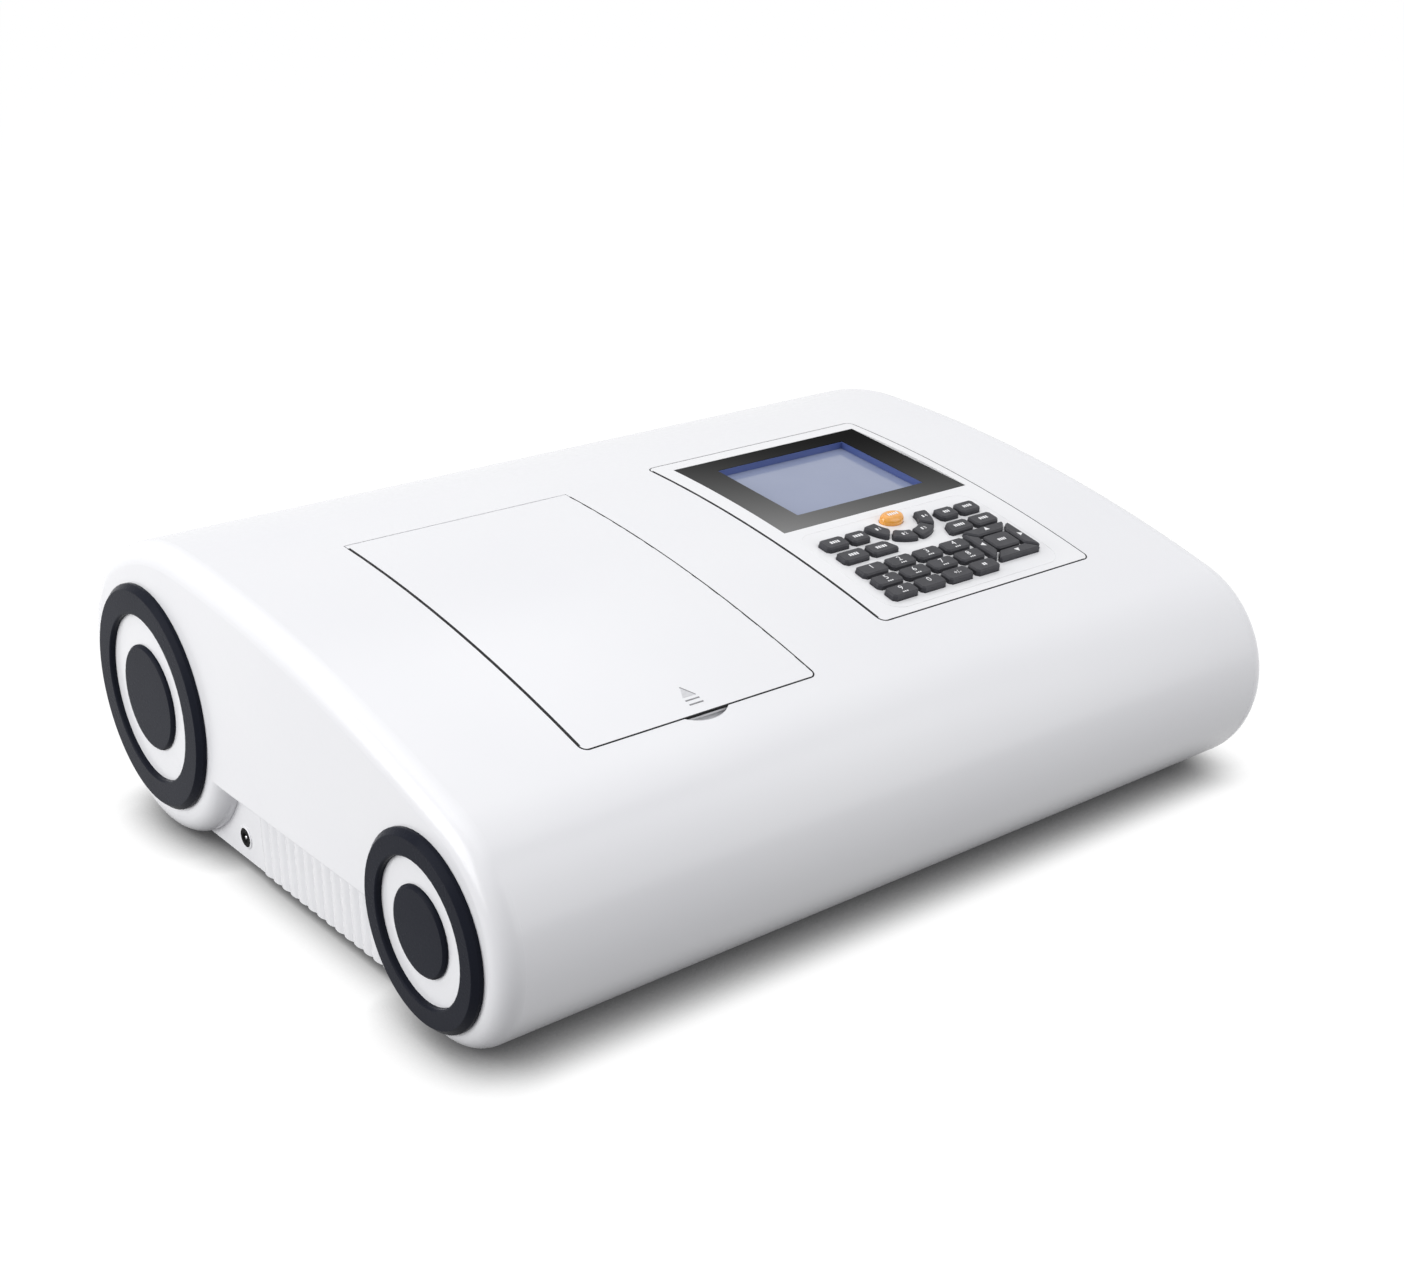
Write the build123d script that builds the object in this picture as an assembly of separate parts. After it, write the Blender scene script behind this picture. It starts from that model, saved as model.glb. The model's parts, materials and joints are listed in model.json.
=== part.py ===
"""Double beam spectrophotometer: a bench instrument with a hinged lid over its sample well.

Millimetres. X runs left to right as the user faces it, Y front to back, Z up.
The origin is on the bench, under the middle of the case.
"""
import os
from math import asin, atan2, cos, degrees, hypot, radians, sin, sqrt

from build123d import *

os.makedirs("parts", exist_ok=True)

# Case: side outline, as four tangent arcs from the nose over the top to the back
case_depth = 518.0
nose_r, rear_r = 75.0, 98.25
case_lift = 2.0
top_r = 1190.0
top_rise = 11.08
shoulder_r = 186.0
nose_y, nose_z = -case_depth / 2 + nose_r, nose_r + case_lift
rear_y, rear_z = case_depth / 2 - rear_r, rear_r + case_lift
skin_t = 3.0
ledge_t = 3.0
floor_z = 8.0
floor_t = 3.0

# Case: widths
seam_half = 298.0
cap_depth = 15.0
cap_round = 14.0
case_half = seam_half + cap_depth
rib_t = 2.5
rib_depth = 8.0
case_ribs_x = (-seam_half + 43.0, 0.0, seam_half - 36.0)
rib_from_z = 125.0

# End caps: lobes round the two discs, and the straight edge between them
lobe_r = nose_r - 7.5
lobe_angle = 233.0
cap_edge_z = nose_z - 12.0

# Trim discs on the end caps
rear_disc_y, rear_disc_z = rear_y - 2.25, rear_z - 1.75
front_disc_y, front_disc_z = nose_y + 1.8, nose_z - 5.4
rear_ring_r, front_ring_r = 76.9, 58.5
rear_band, front_band = 20.1, 15.3
rear_hub_r, front_hub_r = 36.0, 27.0
rear_field_r, front_field_r = rear_ring_r - rear_band, front_ring_r - front_band
ring_seat_t = 8.0
ring_t = 6.0
ring_bevel = 3.4
field_t = 2.0
hub_t = 3.0
hub_bevel = 1.5
trim_gap = 0.15

# Base: fluted side walls and the jack
wall_top_z = cap_edge_z + 7.0
jack_y, jack_z = rear_y - 89.75, 24.0
jack_r = 6.3
jack_bore_r = 3.2
jack_pin_r = 1.1
jack_depth = 16.0
jack_lip = 1.0
flute_count = 14
flute_pitch = 11.5
flute_rise = 1.3
flute_back_y = jack_y - 23.0

# Feet
foot_r = 11.0
foot_x = seam_half - 63.0
foot_front_y, foot_back_y = nose_y + 34.0, rear_y - 10.75
foot_screw_r = 3.0
foot_recess = 3.0

# Sample lid and its hinge
lid_x0, lid_x1 = -214.0, -44.5
lid_y0, lid_y1 = -194.0, 64.5
lid_gap = 1.0
lid_corner_r = 4.5
lid_rib_t = 2.0
lid_rib_h = 6.0
lid_back_bevel = 1.6
lid_back_lip = 0.6
ledge_in = 7.0
ledge_out = 4.0
hinge_back = 14.0
hinge_drop = 8.0
hinge_pin_r = 2.5
hinge_clear = 0.08
hinge_boss_r = 4.4
arm_half = 5.0
arm_xs = (lid_x0 + 23.0, lid_x1 - 23.0)
neck_in_r = 15.7
neck_out_r = 20.2
neck_web = 4.5
neck_top, neck_foot = 150.0, 270.0
lug_t = 3.0
side_clear = 0.4
notch_x0, notch_x1 = lid_x0 + 69.5, lid_x1 - 68.0
notch_reach = 6.0
notch_depth = 4.8
notch_under = 5.0

# Sample well, its windows and the cell holders
well_t = 2.5
well_floor_z = 70.0
well_inset = 4.0
well_back_y = lid_y1 - 11.5
beam_z = 98.0
sample_beam_y = -60.0
reference_beam_y = 34.0
window_r = 10.0
window_t = 1.5
window_hole_r = 8.0
cell = 12.7
cell_count = 5
cell_pitch = 16.0
cell_floor = 6.0
holder_h = 42.0
holder_w = 22.0
holder_end = 4.0
slit_w, slit_h = 6.0, 14.0
carriage_x = -150.0
rail_r = 3.0
rail_gap_x = 30.0
rail_clear = 0.08
block_h = 14.0
block_w = 44.0
carriage_clear = 1.0
reference_x = carriage_x + block_w + 24.0
pedestal_foot, pedestal_foot_t, pedestal_in = 6.0, 5.0, 3.0
rail_z = well_floor_z + well_t + carriage_clear + block_h / 2

# Control panel and display
panel_x0, panel_x1 = 33.5, 225.5
panel_y0, panel_y1 = -168.5, 75.0
panel_gap = 1.0
panel_corner_r = 5.0
panel_ledge_in = 4.0
bezel_x0, bezel_x1 = panel_x0 + 14.5, panel_x1 - 7.5
bezel_y0, bezel_y1 = panel_y1 - 132.0, panel_y1 - 11.5
bezel_t = 5.5
bezel_gap = 0.3
bezel_flange = 3.0
bezel_flange_t = 1.5
bezel_flange_drop = 3.2
screen_x0, screen_x1 = bezel_x0 + 27.5, bezel_x1 - 24.0
screen_y0, screen_y1 = bezel_y0 + 18.0, bezel_y1 - 15.0
screen_border = 6.0
screen_t = 9.0

# Keys, laid out on a plane that touches the case at the middle of the keypad
keypad_y = panel_y0 + 54.5
key_rise = 3.5
key_bevel = 1.1
key_corner = 2.2
key_gap = 2.6
key_clear = 0.35
key_flange = 0.6
key_flange_t = 1.2
key_flange_z = -4.2
key_stem_r = 2.4
key_stem_z = -9.2
board_z = -11.1
board_t = 1.6
board_margin, board_back_margin = 6.0, 3.0
sleeve_wall = 1.2
sleeve_z = -7.4
stem_clear = 0.08
post_r = 3.0

# Number keys: four columns and three rows
number_x0, number_v0 = panel_x0 + 22.4, -43.0
number_pitch_x, number_pitch_v = 25.0, 14.4
number_w, number_h = 22.4, 11.8
# Rows of word keys above the numbers
low_row_v, high_row_v = 4.5, 22.3
word_h = 12.4
word_slant = 5.0
help_w, load_w, save_w, print_w = 20.0, 16.3, 22.4, 23.8
set_w, zero_w, start_w, stop_w = 16.6, 18.4, 23.2, 21.3
word_x1 = panel_x1 - 26.9
# Curved keys round the enter key
enter_x, enter_v = panel_x0 + 94.5, 39.5
enter_w, enter_h, enter_rise, enter_round = 19.0, 13.5, 5.2, 3.6
smile_in, smile_out = 18.5, 29.5
smile_start, smile_step, smile_gap = 183.0, 44.0, 5.0
# Arrow keys round the cell key
arrow_x0, arrow_x1 = panel_x1 - 69.2, panel_x1 - 25.1
arrow_v0, arrow_v1 = -36.5, 2.0
arrow_w = 9.0
arrow_gap = 1.7
arrow_corner_r = 1.4

# Back bay with the power inlet, switch, ports and fan
bay_w = 225.0
bay_x0, bay_x1 = seam_half - 23.0 - bay_w, seam_half - 23.0
bay_z0, bay_z1 = 42.0, 110.0
bay_wall = 3.0
panel_back_y = rear_y + 67.25
panel_back_t = 2.0
panel_back_top = 120.0
ramp_y = rear_y + 25.25
ramp_top_z = 38.0
fan_x, fan_z = bay_x0 + 42.0, (bay_z0 + bay_z1) / 2
fan_size, fan_depth = 60.0, 20.0
fan_bore_r = 28.0
fan_hub_r = 12.0
fan_blades = 7
fan_blade_t = 1.6
fan_blade_pitch = 35.0
fan_tip_gap = 0.8
fan_spoke = 4.0
fan_shaft_r = 1.5
vent_slot = 2.6
vent_pitch = 5.2
inlet_x, inlet_z = bay_x1 - 47.0, 66.0
inlet_w, inlet_h, inlet_t = 58.0, 30.0, 2.0
inlet_body_depth = 30.0
inlet_gap = 0.15
socket_w, socket_h, socket_depth = 24.5, 17.0, 17.0
blade_w, blade_t, blade_len = 2.0, 4.0, 14.0
rocker_x, rocker_w, rocker_h = inlet_x + 20.0, 12.0, 21.0
rocker_pivot = 5.5
rocker_half = 9.2
rocker_tilt = 9.0
rocker_clear = 0.35
port_x, port_z = bay_x0 + 112.0, 74.0
port_w, port_h = 42.0, 16.0
usb_w, usb_h, usb_depth = 8.6, 8.0, 9.0
port_t = 12.0
port_lip = 1.5

# Inner units
bench_x0, bench_x1 = -seam_half + 16.0, 128.0
bench_y0, bench_y1 = nose_y - 6.0, rear_y + 19.0
bench_round = 10.0
bench_z, bench_t = 18.0, 8.0
bench_pad_r = 10.0
unit_lid_t, unit_lid_over = 3.0, 1.5
mono_x0, mono_x1, mono_y0, mono_y1, mono_h = bench_x0 + 14.0, 10.0, 76.0, bench_y1 - 2.0, 118.0
mono_round = 8.0
turret_x, turret_r, turret_h = mono_x0 + 90.0, 22.0, 5.0
lamp_x0, lamp_x1, lamp_y0, lamp_y1, lamp_h = 30.0, bench_x1 - 16.0, 92.0, bench_y1 - 4.0, 96.0
lamp_round, det_round = 4.0, 5.0
fin_count, fin_t, fin_h = 8, 2.5, 12.0
det_x0, det_x1, det_y0, det_y1, det_h = lid_x1 + 4.0, 24.0, -100.0, 62.0, 96.0
supply_x0, supply_x1, supply_y0, supply_y1, supply_h = 150.0, seam_half - 18.0, 60.0, rear_y + 15.0, 48.0
supply_vents, supply_vent_w, supply_vent_pitch, supply_vent_depth = 9, 4.0, 11.0, 2.0
supply_margin, supply_round = 20.0, 3.0
main_x0, main_x1, main_y0, main_y1 = 140.0, seam_half - 14.0, nose_y + 34.0, 40.0
main_z, main_t = 24.0, 1.6
standoff_r = 4.0
chip_x, chip_y, chip_size, chip_t = main_x0 + 50.0, main_y0 + 70.0, 28.0, 3.0
plug_x, plug_y, plug_w, plug_len, plug_h = main_x1 - 18.0, main_y0 + 40.0, 10.0, 70.0, 10.0
sink_x, sink_y, sink_w, sink_len, sink_t = main_x0 + 22.0, main_y1 - 60.0, 34.0, 40.0, 3.0
sink_fins, sink_fin_t, sink_fin_h = 6, 2.0, 16.0


def unit(y0, z0, y1, z1):
    """Unit vector from one point of the side view to another."""
    length = hypot(y1 - y0, z1 - z0)
    return (y1 - y0) / length, (z1 - z0) / length


def meet(a, ra, b, rb):
    """Crossing of two circles in the side view, on the right hand of the way from a to b."""
    d = hypot(b[0] - a[0], b[1] - a[1])
    along = (ra * ra - rb * rb + d * d) / (2 * d)
    off = sqrt(ra * ra - along * along)
    u = unit(*a, *b)
    return a[0] + along * u[0] + off * u[1], a[1] + along * u[1] - off * u[0]


# Centres of the four arcs, and the angles at which they meet. The top arc touches the nose
# and passes over the rear circle by top_rise.
nose_c = (nose_y, nose_z)
rear_c = (rear_y, rear_z)
top_c = meet(nose_c, top_r - nose_r, rear_c, top_r - rear_r - top_rise)
nose_end = degrees(atan2(*reversed(unit(*top_c, *nose_c))))
shoulder_c = meet(rear_c, shoulder_r - rear_r, top_c, top_r - shoulder_r)
top_end = degrees(atan2(*reversed(unit(*top_c, *shoulder_c))))
rear_end = degrees(atan2(*reversed(unit(*shoulder_c, *rear_c))))


def arc(centre, radius, start, end):
    """Arc in the side view between two angles."""
    return CenterArc((centre[0], centre[1], 0), radius, start, end - start)


def over_the_top(depth, nose_from, rear_to):
    """The four arcs of the side outline, a given depth below the surface."""
    return [
        arc(nose_c, nose_r - depth, nose_from, nose_end),
        arc(top_c, top_r - depth, nose_end, top_end),
        arc(shoulder_c, shoulder_r - depth, top_end, rear_end),
        arc(rear_c, rear_r - depth, rear_end, rear_to),
    ]


def side_face(depth):
    """Side outline of the case with a flat underside."""
    nose_from = 180.0 + degrees(asin(min(1.0, (nose_z - floor_z) / (nose_r - depth))))
    rear_to = -degrees(asin(min(1.0, (rear_z - floor_z) / (rear_r - depth))))
    arcs = over_the_top(depth, nose_from, rear_to)
    return make_face(arcs + [Line(arcs[-1] @ 1, arcs[0] @ 0)])


def across(face, x0, x1):
    """Extrude a side-view face from x0 to x1."""
    return extrude(Plane.YZ.offset(x0) * face, x1 - x0)


def surface_z(y):
    """Height of the top surface at y."""
    if y < top_c[0] + top_r * cos(radians(top_end)):
        return top_c[1] + sqrt(top_r ** 2 - (y - top_c[0]) ** 2)
    return shoulder_c[1] + sqrt(shoulder_r ** 2 - (y - shoulder_c[0]) ** 2)


def plate(x0, x1, y0, y1, d0, d1, corner_r=0.0, corners=4):
    """Piece of the curved skin over a rectangle, between two depths. The front corners are rounded first."""
    plan = Rectangle(x1 - x0, y1 - y0)
    if corner_r:
        plan = fillet(plan.vertices().sort_by(Axis.Y)[:corners], corner_r)
    column = extrude(Pos((x0 + x1) / 2, (y0 + y1) / 2, cap_edge_z) * plan, rear_z + shoulder_r)
    skin = across(side_face(d0), x0 - 1, x1 + 1) - across(side_face(d1), x0 - 1, x1 + 1)
    return skin & column


def box(x0, x1, y0, y1, z0, z1):
    """Box between two corners."""
    return Pos((x0 + x1) / 2, (y0 + y1) / 2, (z0 + z1) / 2) * Box(x1 - x0, y1 - y0, z1 - z0)


def rod_x(x0, x1, y, z, radius):
    """Round bar along X."""
    return extrude(Plane.YZ.offset(x0) * Pos(y, z) * Circle(radius), x1 - x0)


def rod_y(x, y0, y1, z, radius):
    """Round bar along Y."""
    return Pos(x, (y0 + y1) / 2, z) * Rot(90, 0, 0) * Cylinder(radius, y1 - y0)


def write(name, shape):
    """Write one sub-part."""
    if isinstance(shape, (list, tuple)):
        solids = [s for part in shape for s in part.solids()]
    else:
        solids = shape.solids()
    export_step(solids[0] if len(solids) == 1 else Compound(children=solids), f"parts/{name}.step")


# Hinge of the sample lid: two pins just behind its back edge, below the cover
hinge_y = lid_y1 + hinge_back
hinge_z = surface_z(hinge_y) - hinge_drop

# Well, kept inside the lid's ledge
well_x0, well_x1 = lid_x0 + well_inset, lid_x1 - well_inset
well_y0 = lid_y0 + ledge_in + well_t


def frame_ledge(x0, x1, y0, y1, reach):
    """Ledge under an opening of the cover, which reaches in under what closes it."""
    outer = plate(x0 - ledge_out, x1 + ledge_out, y0 - ledge_out, y1 + ledge_out, skin_t, skin_t + ledge_t)
    inner = plate(x0 + reach, x1 - reach, y0 + reach, y1 - reach, skin_t - 1, skin_t + ledge_t + 1)
    return outer - inner


def hinge_lugs():
    """Two cheeks under the cover at each hinge arm, drilled for the pin."""
    lugs = []
    under = across(side_face(skin_t - 0.5), lid_x0 - 20, lid_x1 + 20)
    for x in arm_xs:
        for side in (-1, 1):
            inner = x + side * (arm_half + side_clear)
            x0, x1 = sorted((inner, inner + side * lug_t))
            ear = box(x0, x1, hinge_y - 5, hinge_y + 5, hinge_z, hinge_z + hinge_drop) & under
            ear += rod_x(x0, x1, hinge_y, hinge_z, 5.0)
            lugs.append(ear - rod_x(x0 - 1, x1 + 1, hinge_y, hinge_z, hinge_pin_r))
    return lugs


def make_cover():
    """Top cover: one curved skin from under the nose to under the back."""
    cover = across(side_face(0), -seam_half, seam_half)
    cover -= across(side_face(skin_t), -seam_half - 1, seam_half + 1)
    lid_hole = (lid_x0 - lid_gap, lid_x1 + lid_gap, lid_y0 - lid_gap, lid_y1 + lid_gap)
    panel_hole = (panel_x0 - panel_gap, panel_x1 + panel_gap, panel_y0 - panel_gap, panel_y1 + panel_gap)
    cover -= plate(*lid_hole, -1, skin_t + 1, lid_corner_r + lid_gap, corners=2)
    cover -= plate(*panel_hole, -1, skin_t + 1, panel_corner_r + panel_gap)
    for x in case_ribs_x:
        rib = across(side_face(skin_t - 0.5), x - rib_t / 2, x + rib_t / 2)
        rib -= across(side_face(skin_t + rib_depth), x - rib_t, x + rib_t)
        above = box(x - rib_t, x + rib_t, nose_y - nose_r, rear_y + rear_r, rib_from_z, rear_z + rear_r + 20)
        cover += rib & above
    cover += frame_ledge(*panel_hole, panel_ledge_in)
    ledge = frame_ledge(*lid_hole, ledge_in)
    for x in arm_xs:
        half = arm_half + side_clear + lug_t + 1
        ledge -= box(x - half, x + half, well_back_y, hinge_y + hinge_boss_r, hinge_z - 20, hinge_z + 20)
    cover += ledge
    cover += hinge_lugs()
    # Finger notch under the lid's front edge
    mid = (notch_x0 + notch_x1) / 2
    half = (notch_x1 - notch_x0) / 2
    bow_r = (half ** 2 + notch_reach ** 2) / (2 * notch_reach)
    edge_y = lid_y0 - lid_gap
    bow = Pos(mid, edge_y - notch_reach + bow_r, floor_z) * Cylinder(
        bow_r, rear_z + shoulder_r, align=(Align.CENTER, Align.CENTER, Align.MIN))
    notch = plate(notch_x0, notch_x1, edge_y - notch_reach, edge_y + notch_under, -1, notch_depth)
    cover -= notch & bow
    # Bay at the back, with returns that reach the back panel
    bay = box(bay_x0, bay_x1, panel_back_y, rear_y + rear_r + 5, bay_z0, bay_z1)
    walls = box(bay_x0 - bay_wall, bay_x1 + bay_wall, panel_back_y, rear_y + rear_r + 5,
                bay_z0 - bay_wall, bay_z1 + bay_wall)
    cover += walls & across(side_face(skin_t / 2), bay_x0 - 10, bay_x1 + 10)
    return cover - bay


def cap_face(inset):
    """Lobed outline of an end cap, inset by a wall."""
    lobe_c = (nose_y + (nose_r - lobe_r) * cos(radians(lobe_angle)),
              nose_z + (nose_r - lobe_r) * sin(radians(lobe_angle)))
    edge = cap_edge_z + inset
    small, large = lobe_r - inset, rear_r - inset
    front_end = 360.0 + degrees(asin((edge - lobe_c[1]) / small))
    rear_to = -180.0 - degrees(asin((edge - rear_z) / large))
    arcs = [arc(lobe_c, small, front_end, lobe_angle)]
    arcs += over_the_top(inset, lobe_angle, rear_to)
    return make_face(arcs + [Line(arcs[-1] @ 1, arcs[0] @ 0)])


def rounded_cap(inset, x0, x1, radius):
    """Lobed block whose outer edge is rounded, but not its straight lower edge."""
    block = across(cap_face(inset), x0, x1)
    rim = block.faces().sort_by(Axis.X)[0].edges()
    lower = rim.filter_by(GeomType.LINE)
    return fillet([e for e in rim if e not in lower], radius)


def make_cap():
    """Left end cap: a moulded shell with a seat for each trim ring."""
    cap = rounded_cap(0, -case_half, -seam_half, cap_round)
    cap -= rounded_cap(skin_t, -case_half + skin_t, -seam_half + 1, cap_round - skin_t)
    cap += rod_x(-case_half, -case_half + ring_seat_t, front_disc_y, front_disc_z, front_ring_r)
    fields = ((rear_disc_y, rear_disc_z, rear_field_r), (front_disc_y, front_disc_z, front_field_r))
    for y, z, radius in fields:
        cap += rod_x(-case_half - field_t, -case_half + 1, y, z, radius - trim_gap)
    return cap


def trim_ring(y, z, ring_r, field_r):
    """Bevelled ring, pressed round the raised white field of an end cap."""
    x = -case_half
    profile = Polyline(
        (x, field_r), (x, ring_r), (x - ring_t + ring_bevel, ring_r), (x - ring_t, ring_r - ring_bevel),
        (x - ring_t, field_r + 1), (x - ring_t + 1, field_r), close=True)
    ring = revolve(Plane.XY * make_face(profile), Axis.X)
    return Pos(0, y, z) * ring


def trim_hub(y, z, hub_r):
    """Dark round plate in the middle of the white field."""
    x = -case_half - field_t
    profile = Polyline(
        (x, 0), (x, hub_r), (x - hub_t + hub_bevel, hub_r), (x - hub_t, hub_r - hub_bevel), (x - hub_t, 0),
        close=True)
    return Pos(0, y, z) * revolve(Plane.XY * make_face(profile), Axis.X)


def both_ends(shapes):
    """The given left-hand pieces and their mirror images."""
    return list(shapes) + [mirror(s, Plane.YZ) for s in shapes]


def flutes():
    """Row of upright rounded flutes on the left side wall."""
    x = -seam_half
    chain = []
    for i in range(flute_count):
        y = flute_back_y - i * flute_pitch
        chain.append(ThreePointArc((x, y), (x - flute_rise, y - flute_pitch / 2), (x, y - flute_pitch)))
    y_end = flute_back_y - flute_count * flute_pitch
    back = Polyline((x, y_end), (x + 1, y_end), (x + 1, flute_back_y), (x, flute_back_y))
    face = make_face(chain + [back])
    return extrude(Pos(0, 0, floor_z) * face, cap_edge_z - floor_z)


def make_base():
    """Base pan: floor, side walls, and a back that ramps up to the connector panel."""
    t = floor_t
    inside = across(side_face(skin_t), -seam_half, seam_half)
    # The sheet from the nose to the ramp and the upright back panel, in the side view
    y_top = panel_back_y
    sheet = make_face(Polyline(
        (nose_y - nose_r, floor_z), (ramp_y, floor_z), (y_top, ramp_top_z), (y_top, panel_back_top),
        (y_top - panel_back_t, panel_back_top), (y_top - panel_back_t, ramp_top_z + 1),
        (ramp_y - 1, floor_z + t), (nose_y - nose_r, floor_z + t), close=True))
    pan = across(sheet, -seam_half, seam_half)
    for side in (-1, 1):
        x0, x1 = sorted((side * seam_half, side * (seam_half - t)))
        pan += box(x0, x1, nose_y - nose_r, panel_back_y, floor_z, wall_top_z)
    pan &= inside
    pan += flutes()
    pan += mirror(flutes(), Plane.YZ)
    for sx in (-1, 1):
        for y in (foot_front_y, foot_back_y):
            pan -= Pos(sx * foot_x, y, floor_z + t / 2) * Cylinder(foot_screw_r, t + 1)
    for x, y in bench_pads():
        pan += Pos(x, y, 0) * extrude(Pos(0, 0, floor_z + t) * Circle(bench_pad_r), bench_z - floor_z - t)
    for x, y in board_posts():
        pan += extrude(Pos(x, y, floor_z + t) * Circle(standoff_r), main_z - floor_z - t)
    pan -= rod_x(-seam_half - 5, -seam_half + t + 1, jack_y, jack_z, jack_r - 1.2)
    # Openings of the back panel
    pan -= box(inlet_x - inlet_w / 2 + 3, inlet_x + inlet_w / 2 - 3, y_top - 5, y_top + 5,
               inlet_z - inlet_h / 2 + 2, inlet_z + inlet_h / 2 - 2)
    pan -= box(port_x - port_w / 2, port_x + port_w / 2, y_top - 5, y_top + 5,
               port_z - port_h / 2, port_z + port_h / 2)
    bore = rod_y(fan_x, y_top - 5, y_top + 5, fan_z, fan_bore_r - 1)
    rows = int(fan_bore_r / vent_pitch)
    for i in range(-rows, rows + 1):
        z = fan_z + i * vent_pitch
        pan -= bore & box(fan_x - fan_bore_r, fan_x + fan_bore_r, y_top - 5, y_top + 5,
                          z - vent_slot / 2, z + vent_slot / 2)
    return pan


def bench_pads():
    """Places of the pads that carry the optical bench."""
    m = bench_pad_r + 5
    return [(x, y) for x in (bench_x0 + m, bench_x1 - m) for y in (bench_y0 + m, bench_y1 - m)]


def board_posts():
    """Places of the posts that carry the main board."""
    m = standoff_r + 3
    return [(x, y) for x in (main_x0 + m, main_x1 - m) for y in (main_y0 + m, main_y1 - m)]


def make_jack():
    """Round socket in the left side wall: a lipped black body and its centre pin."""
    x = -seam_half
    body = rod_x(x - jack_lip, x, jack_y, jack_z, jack_r)
    body += rod_x(x, x + jack_depth, jack_y, jack_z, jack_r - 1.35)
    body -= rod_x(x - jack_lip - 1, x + jack_depth - 2, jack_y, jack_z, jack_bore_r)
    pin = rod_x(x - jack_lip + 0.4, x + jack_depth - 2, jack_y, jack_z, jack_pin_r)
    return [body, pin]


def make_feet():
    """Four rubber feet with a step that plugs into the floor and a screw recess."""
    feet = []
    for x in (-foot_x, foot_x):
        for y in (foot_front_y, foot_back_y):
            foot = extrude(Pos(x, y, 0) * Circle(foot_r), floor_z)
            foot = chamfer(foot.edges().sort_by(Axis.Z)[0], 1.5)
            foot += extrude(Pos(x, y, floor_z) * Circle(foot_screw_r - 0.1), floor_t)
            foot -= extrude(Pos(x, y, 0) * Circle(foot_screw_r), foot_recess)
            feet.append(foot)
    return feet


def make_lid():
    """Sample lid: a curved plate with a rim rib inside and two gooseneck hinge arms."""
    lid = plate(lid_x0, lid_x1, lid_y0, lid_y1, 0, skin_t, lid_corner_r, corners=2)
    # The back edge leans forward, so that it clears the cover as it swings
    z_edge = surface_z(lid_y1) - lid_back_lip
    z_under = surface_z(lid_y1) - skin_t - 2
    wedge = make_face(Polyline((lid_y1 + 1, z_under), (lid_y1 + 1, z_edge), (lid_y1, z_edge),
                               (lid_y1 - lid_back_bevel, z_under), close=True))
    lid -= across(wedge, lid_x0 - 1, lid_x1 + 1)
    inner = (well_x0 + well_t + 1, well_x1 - well_t - 1, well_y0 + 1.5, well_back_y - 1)
    rib = plate(*inner, skin_t - 0.5, skin_t + lid_rib_h)
    rib -= plate(inner[0] + lid_rib_t, inner[1] - lid_rib_t, inner[2] + lid_rib_t, inner[3] - lid_rib_t,
                 skin_t - 1, skin_t + lid_rib_h + 1)
    lid += rib
    under = across(side_face(skin_t - 0.5), lid_x0 - 5, lid_x1 + 5)
    for x in arm_xs:
        neck = make_face([
            arc((hinge_y, hinge_z), neck_out_r, neck_top, neck_foot),
            arc((hinge_y, hinge_z), neck_in_r, neck_top, neck_foot),
            Line(polar(neck_in_r, neck_top), polar(neck_out_r, neck_top)),
            Line(polar(neck_in_r, neck_foot), polar(neck_out_r, neck_foot)),
        ])
        web = make_face(Polyline(
            (hinge_y, hinge_z), (hinge_y + neck_web, hinge_z), (hinge_y + neck_web, hinge_z - neck_in_r - 2),
            (hinge_y, hinge_z - neck_out_r), close=True))
        boss = Pos(hinge_y, hinge_z) * Circle(hinge_boss_r)
        arm = across(neck + web + boss, x - arm_half, x + arm_half)
        lid += arm & under
        lid -= rod_x(x - arm_half - 1, x + arm_half + 1, hinge_y, hinge_z, hinge_pin_r + hinge_clear)
    return lid


def polar(radius, angle):
    """Point at an angle round the lid's hinge, in the side view."""
    return hinge_y + radius * cos(radians(angle)), hinge_z + radius * sin(radians(angle))


def make_pins():
    """Hinge pins, held by the lugs of the cover."""
    reach = arm_half + side_clear + lug_t
    return [rod_x(x - reach, x + reach, hinge_y, hinge_z, hinge_pin_r) for x in arm_xs]


def beam_ys():
    """The two beams that cross the well."""
    return sample_beam_y, reference_beam_y


def make_well():
    """Sample well: an open tub whose rim follows the cover's ledge."""
    inside_cover = across(side_face(skin_t + ledge_t), well_x0 - 1, well_x1 + 1)
    top = surface_z(well_back_y)
    tub = box(well_x0, well_x1, well_y0 - well_t, well_back_y + well_t, well_floor_z, top) & inside_cover
    tub -= box(well_x0 + well_t, well_x1 - well_t, well_y0, well_back_y, well_floor_z + well_t, top + 5)
    for y in beam_ys():
        tub -= rod_x(well_x0 - 1, well_x1 + 1, y, beam_z, window_hole_r)
        for x0 in (well_x0 - 1, well_x1 - window_t):
            tub -= rod_x(x0, x0 + window_t + 1, y, beam_z, window_r)
    return tub


def make_windows():
    """Quartz windows, set into the well's walls from outside."""
    return [rod_x(x0, x0 + window_t, y, beam_z, window_r - 0.1)
            for y in beam_ys() for x0 in (well_x0, well_x1 - window_t)]


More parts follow.
